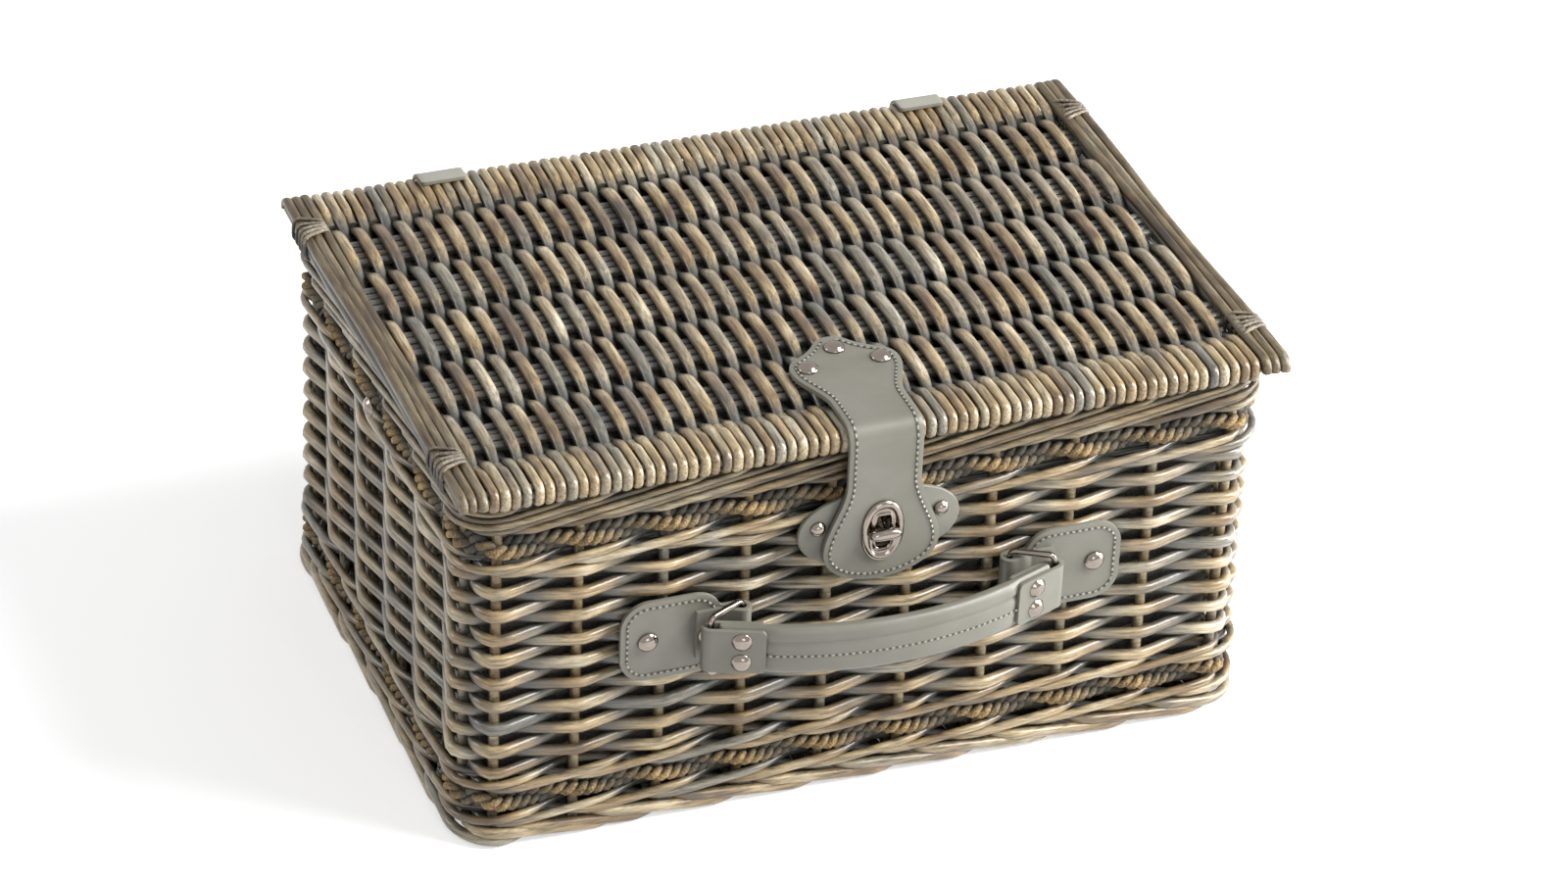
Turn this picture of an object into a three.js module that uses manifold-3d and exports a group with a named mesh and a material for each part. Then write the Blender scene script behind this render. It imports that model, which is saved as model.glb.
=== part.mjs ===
// A woven willow picnic basket: a rectangular body of stacked woven bands, a hinged lid, a leather latch
// strap with a turn lock, and a soft leather carrying handle on the front that arches out on two wire rings.
// Millimetres, +Z up. The front faces -Y. The origin is on the floor, under the middle of the body.
import * as THREE from "three";
import { mergeVertices } from "three/addons/utils/BufferGeometryUtils.js";
import Module from "manifold-3d";

const wasm = await Module();
wasm.setup();

// Clearance
const GAP = 0.3; // between pieces that touch

// Body
const BODY_WIDTH = 420; // over the woven side
const BODY_DEPTH = 285;
const CORNER_RADIUS = 24; // outside, seen from above
const WALL = 13; // thickness of the weave
const BASE_THICKNESS = 10;
const FOOT_HEIGHT = 11;
const WALE_HEIGHT = 8.4;
const ROPE_HEIGHT = 12.3;
const SIDE_HEIGHT = 118.5; // plain weave between the two rope bands
const RIM_HEIGHT = 19;
const FOOT_OUTSET = 1; // how far a band stands proud of the side weave
const WALE_OUTSET = 0.6;
const ROPE_OUTSET = 1.2;
const RIM_OUTSET = 0.6;
const WEAVE_ROWS = 18; // rods one above the other in the plain weave
const WEAVE_RELIEF = 5.7; // from a rod's crown down to the stake beside it
const FRONT_STAKES = 10; // on the front, and as many on the back
const END_STAKES = 6; // on each end
const FRONT_STAKE_INSET = 18.3; // from the body's end to the front's outermost stake
const END_STAKE_INSET = 30; // from the front to the end's outermost stake

// Lid
const LID_THICKNESS = 14;
const LID_RODS = 72; // side by side across the lid
const LID_STICKS = 5; // that the rods pass over and under
const LID_WRAP = 34.75; // from the lid's edge to where the rods start to weave
const LID_WRAP_SLOPE = 18; // over which the wrapped rods come down to the weave
const LID_RELIEF = 4.7; // from a rod's crown down to the stick beside it
const LID_BACK_OVERHANG = 2;
const LID_SIDE_OVERHANG = 3.6;
const END_ROD_COUNT = 3; // rods that lie side by side along each end of the lid
const END_ROD_WIDTH = 4.1;
const END_ROD_ROUND = 1.2; // rounding of their edges
const END_ROD_RISE = 2.1; // the end rods' underside lies this far above the lid's
const BINDING_THICKNESS = 1.4;
const BINDING_WIDTH = 20;
const BINDING_INSET = 36; // from the lid's front or back edge to the middle of the binding

// Leather
const LEATHER = 2.5;
const HINGE_WIDTH = 24;
const HINGE_INSET = 79; // from the body's end to the middle of the hinge strap
const HINGE_LEATHER = 2;
const HINGE_LID_REACH = 20; // how far the strap comes forward over the lid
const HINGE_WALL_DROP = 34; // how far it hangs down the back wall
const HINGE_SPLIT = 1; // from the hinge axis to the end of each leaf

// Lid stays
const STAY_WIDTH = 12;
const STAY_THICKNESS = 2;
const STAY_STICK_INSET = 56; // from the hinge axis to the lid stick that holds the stay
const LID_OPENING = 100; // degrees at which the stays pull taut

// Latch strap and turn lock
const LATCH_DROP = 43; // turn lock below the rim
const STRAP_NECK = 38;
const STRAP_LID_WIDTH = 56;
const STRAP_LID_REACH = 80; // from the lid's front edge to the strap's back lobe
const STRAP_LID_NECK = 24; // from the lid's front edge to where the strap starts to widen
const STRAP_LOBE_RADIUS = 11;
const STRAP_RIVET_SPREAD = 38; // between the two side rivets
const STRAP_RIVET_BACK = 14; // from the side rivets back to the middle one
const STRAP_END_WIDTH = 60;
const STRAP_WIDEST_DROP = 9; // from the turn lock to where the strap is widest
const STRAP_END_DROP = 28; // from the turn lock to the strap's lower end
const STRAP_NECK_DROP = 22; // from the bend to where the strap starts to widen
const EYELET_WIDTH = 22;
const EYELET_HEIGHT = 36;
const EYELET_THICKNESS = 2;
const SLOT_WIDTH = 7.4;
const SLOT_HEIGHT = 18;
const SLOT_MARGIN = 1; // the hole in the leather is this much larger than the slot, all round
const PATCH_WIDTH = 84;
const PATCH_HEIGHT = 44;
const PATCH_LEATHER = 2;
const PATCH_RIVET_SPAN = 64;
const PATCH_RIVET_RISE = 4; // above the turn lock, clear of the strap's edge
const PATCH_RIVET_DIAMETER = 8;
const LOCK_BASE_WIDTH = 18;
const LOCK_BASE_HEIGHT = 28;
const LOCK_BASE_THICKNESS = 1.2;
const KNOB_STEM = 5; // diameter
const KNOB_LENGTH = 16;
const KNOB_WIDTH = 6.4;
const KNOB_DEPTH = 4.6;

// Handle
const HANDLE_DROP = 88; // middle of the handle below the rim
const HANDLE_HEIGHT = 27;
const GRIP_THICKNESS = 8;
const HANDLE_END_ANGLE = 20.5; // degrees between the handle's ends and the wall
const LOOP_LEATHER = 2.2;
const LOOP_LENGTH = 27; // from the ring's bar to the end of the leaves
const TAB_BAR_SPAN = 140; // between the ring bars that the tabs hold
const TAB_LENGTH = 61; // from that bar to the outer end of the tab
const TAB_NECK = 9; // from that bar to where the tab reaches its full height
const TAB_HEIGHT = 45;
const TAB_CORNER = 14;
const TAB_LANDING = 11.5; // from that bar to where the folded leaf meets the pad
const TAB_LEAF_MARGIN = 6; // from the inner rivet's middle to the end of the folded leaf
const TAB_OUTER_RIVET = 47; // from that bar
const RING_LENGTH = 22; // between the middles of a ring's two bars
const RING_WIRE = 3;
const RING_ARM_CLEARANCE = 1.5; // between a ring's arms and the leather they pass
const RING_BAR_CLEARANCE = 1; // round a bar inside its leather loop
const RING_REST_ANGLE = 27; // degrees between a ring and the wall with the handle let down
const LOOP_RIVET_SPACING = 12;
const LOOP_RIVET_REACH = 15; // from the ring's bar

// Rivets
const RIVET_DIAMETER = 10.4;
const RIVET_HEIGHT = 3;
const RIVET_EDGE = 0.8; // straight edge under the dome

// Fineness of round shapes
const CORNER_STEPS = 5;
const RIVET_SIDES = 12;

// Derived places
const HALF_WIDTH = BODY_WIDTH / 2;
const HALF_DEPTH = BODY_DEPTH / 2;
const radians = THREE.MathUtils.degToRad;

const material = (color, roughness, metalness = 0) =>
  new THREE.MeshStandardMaterial({ color, roughness, metalness });
const willow = () => material(0x8f7d62, 0.75);
const rope = () => material(0x86703f, 0.85);
const cane = () => material(0xb3a78f, 0.65);
const leather = () => material(0x9b998d, 0.55);
const nickel = () => material(0xc9c7c3, 0.18, 1);

const basket = new THREE.Group();

function add(name, geometry, finish) {
  const mesh = new THREE.Mesh(geometry, finish);
  mesh.name = name;
  basket.add(mesh);
  return mesh;
}

// Solids joined or cut by manifold-3d, and back to a three.js geometry

function solid(geometry) {
  const bare = geometry.clone();
  bare.deleteAttribute("normal");
  bare.deleteAttribute("uv");
  const merged = mergeVertices(bare, 1e-4);
  const vertProperties = merged.attributes.position.array;
  const triVerts = new Uint32Array(merged.index.array);
  return new wasm.Manifold(new wasm.Mesh({ numProp: 3, vertProperties, triVerts }));
}

function surface(body) {
  const mesh = body.getMesh();
  const geometry = new THREE.BufferGeometry();
  geometry.setAttribute("position", new THREE.BufferAttribute(mesh.vertProperties, 3));
  geometry.setIndex(new THREE.BufferAttribute(mesh.triVerts, 1));
  geometry.computeVertexNormals();
  return geometry;
}

// Flat shapes and how they are raised

function roundedRectangle(width, height, radius, path = new THREE.Shape()) {
  const x = width / 2;
  const y = height / 2;
  const r = Math.min(radius, x, y);
  path.moveTo(x, r - y);
  path.lineTo(x, y - r);
  path.absarc(x - r, y - r, r, 0, Math.PI / 2);
  path.absarc(r - x, y - r, r, Math.PI / 2, Math.PI);
  path.absarc(r - x, r - y, r, Math.PI, 1.5 * Math.PI);
  path.absarc(x - r, r - y, r, 1.5 * Math.PI, 2 * Math.PI);
  path.closePath();
  return path;
}

// A shape in X and Y raised along Z from z to z + height, with its edges rounded inside its outline.
function raise(shape, z, height, round = 0) {
  const geometry = new THREE.ExtrudeGeometry(shape, {
    depth: height - 2 * round,
    steps: 1,
    curveSegments: CORNER_STEPS,
    bevelEnabled: round > 0,
    bevelThickness: round,
    bevelSize: round,
    bevelOffset: -round,
    bevelSegments: 1,
  });
  return geometry.translate(0, 0, z + round);
}

// A shape in X and Z that stands on a wall facing -Y: it grows from y towards the front.
function standOut(shape, y, depth, round = 0) {
  return raise(shape, 0, depth, round).rotateX(Math.PI / 2).translate(0, y, 0);
}

// A side profile in Y and Z carried along X, width wide about x.
function carryAlongX(shape, x, width, round = 0) {
  const geometry = raise(shape, -width / 2, width, round);
  // the shape's own X and Y become Y and Z
  const turn = new THREE.Matrix4().makeBasis(
    new THREE.Vector3(0, 1, 0),
    new THREE.Vector3(0, 0, 1),
    new THREE.Vector3(1, 0, 0),
  );
  return geometry.applyMatrix4(turn).translate(x, 0, 0);
}

function rivetGeometry(diameter) {
  const radius = diameter / 2;
  const rise = RIVET_HEIGHT - RIVET_EDGE;
  const profile = [new THREE.Vector2(0, 0), new THREE.Vector2(radius, 0)];
  const steps = 4;
  for (let i = 0; i <= steps; i++) {
    const turn = (i / steps) * (Math.PI / 2);
    const x = i === steps ? 0 : radius * Math.cos(turn);
    profile.push(new THREE.Vector2(x, RIVET_EDGE + rise * Math.sin(turn)));
  }
  return new THREE.LatheGeometry(profile, RIVET_SIDES);
}

// A rivet's head, standing on a surface at a point, towards a direction.
function addRivet(name, point, direction, diameter = RIVET_DIAMETER) {
  const rivet = add(name, rivetGeometry(diameter), nickel());
  const up = new THREE.Vector3(0, 1, 0);
  rivet.quaternion.setFromUnitVectors(up, direction.clone().normalize());
  rivet.position.copy(point).addScaledVector(direction.clone().normalize(), GAP);
  return rivet;
}

const FRONT = new THREE.Vector3(0, -1, 0);
const BACK = new THREE.Vector3(0, 1, 0);
const UP = new THREE.Vector3(0, 0, 1);
const sides = [["left", -1], ["right", 1]];

// Body: woven bands stacked from the floor to the rim

function addBand(name, z, height, outset, round, finish) {
  const width = BODY_WIDTH + 2 * outset;
  const depth = BODY_DEPTH + 2 * outset;
  const shape = roundedRectangle(width, depth, CORNER_RADIUS + outset);
  const innerRadius = CORNER_RADIUS - WALL;
  const opening = new THREE.Path();
  roundedRectangle(BODY_WIDTH - 2 * WALL, BODY_DEPTH - 2 * WALL, innerRadius, opening);
  shape.holes.push(opening);
  add(name, raise(shape, z, height - GAP, round), finish);
}

// Woven faces: a rod rises to a crown over every other stake and lies level with the stakes between

function triangles(faces) {
  const geometry = new THREE.BufferGeometry();
  geometry.setFromPoints(faces.flat());
  return geometry;
}

const fourSided = (a, b, c, d) => [[a, b, c], [a, c, d]];
const spread = (i, count, reach) => -reach + (2 * reach * i) / (count - 1);
const middles = (places) => places.slice(1).map((place, i) => (place + places[i]) / 2);

const STRAIGHT_X = HALF_WIDTH - CORNER_RADIUS;
const STRAIGHT_Y = HALF_DEPTH - CORNER_RADIUS;
const BEND = CORNER_RADIUS - WALL / 2; // radius of the wall's middle line at a corner
const BEND_LENGTH = (BEND * Math.PI) / 2;
const QUARTER = STRAIGHT_X + BEND_LENGTH + STRAIGHT_Y;

// A place so far round the wall from the middle of the front, and so deep below its outer face.
function roundTheWall(distance, inset) {
  const along = THREE.MathUtils.euclideanModulo(distance, 4 * QUARTER);
  if (along > 2 * QUARTER) {
    return roundTheWall(along - 2 * QUARTER, inset).negate();
  }
  if (along > QUARTER) {
    const mirrored = roundTheWall(2 * QUARTER - along, inset);
    return new THREE.Vector2(mirrored.x, -mirrored.y);
  }
  if (along < STRAIGHT_X) {
    return new THREE.Vector2(along, inset - HALF_DEPTH);
  }
  if (along > STRAIGHT_X + BEND_LENGTH) {
    return new THREE.Vector2(HALF_WIDTH - inset, along - STRAIGHT_X - BEND_LENGTH - STRAIGHT_Y);
  }
  const turn = (along - STRAIGHT_X) / BEND;
  const radius = CORNER_RADIUS - inset;
  return new THREE.Vector2(STRAIGHT_X + radius * Math.sin(turn), -STRAIGHT_Y - radius * Math.cos(turn));
}

function wovenWall(z, height) {
  const half = [];
  for (let i = 0; i < FRONT_STAKES; i++) {
    half.push(spread(i, FRONT_STAKES, HALF_WIDTH - FRONT_STAKE_INSET));
  }
  for (let i = 0; i < END_STAKES; i++) {
    half.push(QUARTER + spread(i, END_STAKES, HALF_DEPTH - END_STAKE_INSET));
  }
  const stakes = [...half, ...half.map((place) => place + 2 * QUARTER)];
  const between = middles([stakes.at(-1) - 4 * QUARTER, ...stakes, stakes[0] + 4 * QUARTER]);
  const atCorner = (i) => i % half.length === 0 || (i + 1) % half.length === 0
    || i % half.length === FRONT_STAKES - 1 || i % half.length === FRONT_STAKES;

  const at = (distance, inset, level) => {
    const place = roundTheWall(distance, inset);
    return new THREE.Vector3(place.x, place.y, level);
  };
  const faces = [];
  const ground = []; // the wall's outline at the stakes, seen from above
  stakes.forEach((stake, i) => {
    const line = atCorner(i) ? [between[i], stake, between[i + 1]] : [between[i], between[i + 1]];
    ground.push(...line.slice(0, -1).map((distance) => roundTheWall(distance, WEAVE_RELIEF)));
    for (let row = 0; row < WEAVE_ROWS; row++) {
      const low = z + (height * row) / WEAVE_ROWS;
      const high = z + (height * (row + 1)) / WEAVE_ROWS;
      const back = (k, level) => at(line[k], WEAVE_RELIEF, level);
      const crown = (level) => at(stake, 0, level);
      const last = line.length - 1;
      const over = (row + i) % 2 === 0;
      if (over) {
        faces.push(...fourSided(back(0, low), crown(low), crown(high), back(0, high)));
        faces.push(...fourSided(crown(low), back(last, low), back(last, high), crown(high)));
      }
      for (let k = 0; k < last; k++) {
        if (over) {
          faces.push([back(k, low), back(k + 1, low), crown(low)]);
          faces.push([back(k, high), crown(high), back(k + 1, high)]);
        } else {
          faces.push(...fourSided(back(k, low), back(k + 1, low), back(k + 1, high), back(k, high)));
        }
      }
    }
  });
  for (const [a, b, c] of THREE.ShapeUtils.triangulateShape(ground, [])) {
    const corner = (i, level) => new THREE.Vector3(ground[i].x, ground[i].y, level);
    faces.push([corner(a, z + height), corner(b, z + height), corner(c, z + height)]);
    faces.push([corner(a, z), corner(c, z), corner(b, z)]);
  }
  const inside = roundedRectangle(BODY_WIDTH - 2 * WALL, BODY_DEPTH - 2 * WALL, CORNER_RADIUS - WALL);
  return surface(solid(triangles(faces)).subtract(solid(raise(inside, z - 1, height + 2))));
}

const bands = [
  ["foot_border", FOOT_HEIGHT, FOOT_OUTSET, 2, willow],
  ["lower_wale", WALE_HEIGHT, WALE_OUTSET, 1.6, willow],
  ["lower_rope_band", ROPE_HEIGHT, ROPE_OUTSET, 3.2, rope],
  ["lower_top_wale", WALE_HEIGHT, WALE_OUTSET, 1.6, willow],
  ["side_weave", SIDE_HEIGHT, 0, 0, willow],
  ["upper_wale", WALE_HEIGHT, WALE_OUTSET, 1.6, willow],
  ["upper_rope_band", ROPE_HEIGHT, ROPE_OUTSET, 3.2, rope],
  ["rim_border", RIM_HEIGHT, RIM_OUTSET, 2.6, willow],
];
const bandMiddle = {};
let stackTop = 0;
for (const [name, height, outset, round, finish] of bands) {
  if (name === "side_weave") {
    add(name, wovenWall(stackTop, height - GAP), finish());
  } else {
    addBand(name, stackTop, height, outset, round, finish());
  }
  bandMiddle[name] = stackTop + (height - GAP) / 2;
  stackTop += height;
}
const RIM_TOP = stackTop - GAP;

const baseShape = roundedRectangle(
  BODY_WIDTH - 2 * (WALL + GAP),
  BODY_DEPTH - 2 * (WALL + GAP),
  CORNER_RADIUS - WALL - GAP,
);
add("base_panel", raise(baseShape, 0, BASE_THICKNESS, 1), willow());

// Lid: a woven panel with round front and back edges, rods along both ends, cane bindings

// The lid reaches far enough forward for its strap to hang clear of the turn lock.
const LID_FRONT_OVERHANG = ROPE_OUTSET + PATCH_LEATHER + LOCK_BASE_THICKNESS + 2 * GAP;
const LID_BOTTOM = RIM_TOP + GAP;
const LID_TOP = LID_BOTTOM + LID_THICKNESS;
const LID_FRONT = -HALF_DEPTH - LID_FRONT_OVERHANG;
const LID_BACK = HALF_DEPTH + LID_BACK_OVERHANG;
const LID_EDGE_RADIUS = LID_THICKNESS / 2;
const LID_MIDDLE = LID_BOTTOM + LID_EDGE_RADIUS; // height of the round edges' centre
const END_RODS_OUT = HALF_WIDTH + LID_SIDE_OVERHANG;
const END_ROD_PITCH = END_ROD_WIDTH + GAP;
const END_RODS_IN = END_RODS_OUT - END_ROD_COUNT * END_ROD_PITCH + GAP;
const LID_PANEL_HALF = END_RODS_IN - BINDING_THICKNESS - 2 * GAP;

// A long section with round ends, from one y to another and from one z to another.
function roundEndedSection(front, back, bottom, top) {
  const r = (top - bottom) / 2;
  const z = (top + bottom) / 2;
  const shape = new THREE.Shape();
  shape.moveTo(front + r, bottom);
  shape.lineTo(back - r, bottom);
  shape.absarc(back - r, z, r, -Math.PI / 2, Math.PI / 2);
  shape.lineTo(front + r, top);
  shape.absarc(front + r, z, r, Math.PI / 2, 1.5 * Math.PI);
  return shape;
}

// The lid's rods weave in a trough between its wrapped edges.
function wovenLid() {
  const front = LID_FRONT + LID_WRAP;
  const back = LID_BACK - LID_WRAP;
  const level = LID_TOP - LID_RELIEF; // of the sticks
  const floor = level - GAP;
  const half = LID_PANEL_HALF - GAP;
  const trough = new THREE.Shape([
    new THREE.Vector2(front - LID_WRAP_SLOPE, LID_TOP + 1),
    new THREE.Vector2(front - LID_WRAP_SLOPE, LID_TOP),
    new THREE.Vector2(front - GAP, floor),
    new THREE.Vector2(back + GAP, floor),
    new THREE.Vector2(back + LID_WRAP_SLOPE, LID_TOP),
    new THREE.Vector2(back + LID_WRAP_SLOPE, LID_TOP + 1),
  ]);
  const section = roundEndedSection(LID_FRONT, LID_BACK, LID_BOTTOM, LID_TOP);
  const slab = solid(carryAlongX(section, 0, 2 * LID_PANEL_HALF));
  const panel = slab.subtract(solid(carryAlongX(trough, 0, 2 * LID_PANEL_HALF + 2)));

  const at = (x, y, z) => new THREE.Vector3(x, y, z);
  const below = (x, y) => at(x, y, floor - 1);
  const faces = [];
  const pitch = (back - front) / LID_STICKS;
  for (let rod = 0; rod < LID_RODS; rod++) {
    const left = spread(rod, LID_RODS + 1, half);
    const right = spread(rod + 1, LID_RODS + 1, half);
    for (let stick = 0; stick < LID_STICKS; stick++) {
      const near = front + stick * pitch;
      const far = near + pitch;
      const top = near + pitch / 2;
      const [a, b] = [at(left, near, level), at(right, near, level)];
      const [c, d] = [at(right, far, level), at(left, far, level)];
      if ((rod + stick) % 2 === 0) {
        const crownLeft = at(left, top, LID_TOP);
        const crownRight = at(right, top, LID_TOP);
        faces.push(...fourSided(a, b, crownRight, crownLeft), ...fourSided(crownLeft, crownRight, c, d));
        faces.push([a, crownLeft, d], [b, c, crownRight]);
      } else {
        faces.push(...fourSided(a, b, c, d));
      }
      if (rod === 0) {
        faces.push(...fourSided(below(left, near), a, d, below(left, far)));
      }
      if (rod === LID_RODS - 1) {
        faces.push(...fourSided(b, below(right, near), below(right, far), c));
      }
      faces.push(...fourSided(below(left, near), below(left, far), below(right, far), below(right, near)));
    }
    const [frontLeft, frontRight] = [at(left, front, level), at(right, front, level)];
    const [backLeft, backRight] = [at(left, back, level), at(right, back, level)];
    faces.push(...fourSided(below(left, front), below(right, front), frontRight, frontLeft));
    faces.push(...fourSided(below(right, back), below(left, back), backLeft, backRight));
  }
  return surface(panel.add(solid(triangles(faces))));
}

add("lid_panel", wovenLid(), willow());

const rodSection = roundEndedSection(LID_FRONT, LID_BACK, LID_BOTTOM + END_ROD_RISE, LID_TOP);
const rodPlaces = ["inner", "middle", "outer"];
const bindingHole = {
  width: END_RODS_OUT - END_RODS_IN + 2 * GAP,
  height: LID_TOP - LID_BOTTOM - END_ROD_RISE + 2 * GAP,
};
for (const [side, sign] of sides) {
  for (let i = 0; i < END_ROD_COUNT; i++) {
    const x = sign * (END_RODS_IN + END_ROD_WIDTH / 2 + i * END_ROD_PITCH);
    const place = rodPlaces[i] ?? `extra_${i}`;
    add(`lid_end_rod_${side}_${place}`, carryAlongX(rodSection, x, END_ROD_WIDTH, END_ROD_ROUND), willow());
  }
  const x = (sign * (END_RODS_IN + END_RODS_OUT)) / 2;
  const z = (LID_TOP + LID_BOTTOM + END_ROD_RISE) / 2;
  for (const [end, y] of [["front", LID_FRONT + BINDING_INSET], ["back", LID_BACK - BINDING_INSET]]) {
    const shape = roundedRectangle(
      bindingHole.width + 2 * BINDING_THICKNESS,
      bindingHole.height + 2 * BINDING_THICKNESS,
      2 * BINDING_THICKNESS,
    );
    const hole = new THREE.Path();
    shape.holes.push(roundedRectangle(bindingHole.width, bindingHole.height, BINDING_THICKNESS, hole));
    const geometry = standOut(shape, BINDING_WIDTH / 2, BINDING_WIDTH);
    add(`lid_binding_${end}_${side}`, geometry, cane()).position.set(x, y, z);
  }
}

// Leather hinges at the back: one leaf over the lid's edge, one down the wall, parted at the hinge axis

const HINGE_Z = (RIM_TOP + LID_BOTTOM) / 2;
const HINGE_Y = LID_BACK + GAP + HINGE_LEATHER / 2;

// A strap's section that lies on the lid, bends over its back edge and hangs to a height.
function overEdgeSection(reach, thickness, lowest) {
  const centreY = LID_BACK - LID_EDGE_RADIUS;
  const inner = LID_EDGE_RADIUS + GAP;
  const outer = inner + thickness;
  const shape = new THREE.Shape();
  shape.moveTo(LID_BACK - reach, LID_MIDDLE + inner);
  shape.lineTo(centreY, LID_MIDDLE + inner);
  shape.absarc(centreY, LID_MIDDLE, inner, Math.PI / 2, 0, true);
  if (lowest < LID_MIDDLE) shape.lineTo(centreY + inner, lowest);
  shape.lineTo(centreY + outer, Math.min(lowest, LID_MIDDLE));
  shape.absarc(centreY, LID_MIDDLE, outer, 0, Math.PI / 2);
  shape.lineTo(LID_BACK - reach, LID_MIDDLE + outer);
  return shape;
}

for (const [side, sign] of sides) {
  const x = sign * (HALF_WIDTH - HINGE_INSET);
  const lidLeaf = overEdgeSection(HINGE_LID_REACH, HINGE_LEATHER, HINGE_Z + HINGE_SPLIT);
  add(`hinge_lid_leaf_${side}`, carryAlongX(lidLeaf, x, HINGE_WIDTH), leather());
  const leaf = roundedRectangle(HINGE_WIDTH, HINGE_WALL_DROP, 3);
  const wallFace = HALF_DEPTH + Math.max(RIM_OUTSET, ROPE_OUTSET);
  const geometry = standOut(leaf, wallFace + GAP + HINGE_LEATHER, HINGE_LEATHER);
  const leafMiddle = HINGE_Z - HINGE_SPLIT - HINGE_WALL_DROP / 2;
  add(`hinge_wall_leaf_${side}`, geometry, leather()).position.set(x, 0, leafMiddle);
  const head = new THREE.Vector3(x, wallFace + GAP + HINGE_LEATHER, leafMiddle);
  addRivet(`hinge_rivet_${side}`, head, BACK);
}

// Lid stays: leather straps inside each end, from a rivet in the wall to a stick of the lid. At rest a stay
// lies folded under the rim; each of its points is a point of the taut strap, turned back about the hinge.

const stayWallEnd = new THREE.Vector2(0, bandMiddle.upper_rope_band);
const stayLidEnd = new THREE.Vector2(
  HINGE_Y - STAY_STICK_INSET,
  LID_BOTTOM - GAP - STAY_THICKNESS / 2,
);
const hingePoint = new THREE.Vector2(HINGE_Y, HINGE_Z);

// Opening the lid by an angle turns its front edge up.
function opened(point, angle) {
  return point.clone().rotateAround(hingePoint, -angle);
}

// The fold climbs from the wall end to the lid end. A point takes a share of the lid's turn by its height.
function foldedStayPoint(fraction) {
  const taut = radians(LID_OPENING);
  const onTaut = stayWallEnd.clone().lerp(opened(stayLidEnd, taut), fraction);
  let low = 0;
  let high = 1;
  for (let i = 0; i < 40; i++) {
    const share = (low + high) / 2;
    const height = opened(onTaut, -share * taut).y;
    if (THREE.MathUtils.smoothstep(height, stayWallEnd.y, stayLidEnd.y) > share) low = share;
    else high = share;
  }
  return opened(onTaut, -high * taut);
}

// The section of a strap of even thickness along a row of points.
function strapSection(points, thickness) {
  const upper = [];
  const lower = [];
  points.forEach((point, i) => {
    const before = points[Math.max(i - 1, 0)];
    const after = points[Math.min(i + 1, points.length - 1)];
    const along = after.clone().sub(before).normalize();
    const across = new THREE.Vector2(-along.y, along.x).multiplyScalar(thickness / 2);
    upper.push(point.clone().add(across));
    lower.unshift(point.clone().sub(across));
  });
  return new THREE.Shape([...upper, ...lower]);
}

const STAY_STEPS = 20;
const stayPoints = [];
for (let i = 0; i <= STAY_STEPS; i++) stayPoints.push(foldedStayPoint(i / STAY_STEPS));
const staySection = strapSection(stayPoints, STAY_THICKNESS);
for (const [side, sign] of sides) {
  const x = sign * (HALF_WIDTH - WALL - GAP - STAY_WIDTH / 2);
  add(`lid_stay_${side}`, carryAlongX(staySection, x, STAY_WIDTH), leather());
  const outside = sign * (HALF_WIDTH + ROPE_OUTSET);
  const head = new THREE.Vector3(outside, stayWallEnd.x, stayWallEnd.y);
  addRivet(`stay_rivet_${side}`, head, new THREE.Vector3(sign, 0, 0));
}

// Latch: a strap from the lid over its front edge, whose eyelet plate drops over a turn knob on the wall

const LATCH_Z = RIM_TOP - LATCH_DROP;
const frontAt = (out) => -HALF_DEPTH - out; // a distance out from the front wall, as a place in Y

const patchShape = new THREE.Shape().absellipse(0, 0, PATCH_WIDTH / 2, PATCH_HEIGHT / 2, 0, 2 * Math.PI);
const PATCH_BACK = ROPE_OUTSET + GAP;
const PATCH_FACE = PATCH_BACK + PATCH_LEATHER;
const patch = standOut(patchShape, frontAt(PATCH_BACK), PATCH_LEATHER);
add("latch_patch", patch, leather()).position.z = LATCH_Z;
for (const [side, sign] of sides) {
  const x = (sign * PATCH_RIVET_SPAN) / 2;
  const head = new THREE.Vector3(x, frontAt(PATCH_FACE), LATCH_Z + PATCH_RIVET_RISE);
  addRivet(`patch_rivet_${side}`, head, FRONT, PATCH_RIVET_DIAMETER);
}

const LOCK_BASE_FACE = PATCH_FACE + GAP + LOCK_BASE_THICKNESS;
const lockShape = roundedRectangle(LOCK_BASE_WIDTH, LOCK_BASE_HEIGHT, LOCK_BASE_WIDTH / 4);
const lockBase = standOut(lockShape, frontAt(PATCH_FACE + GAP), LOCK_BASE_THICKNESS);
add("turnlock_base", lockBase, nickel()).position.z = LATCH_Z;

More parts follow.
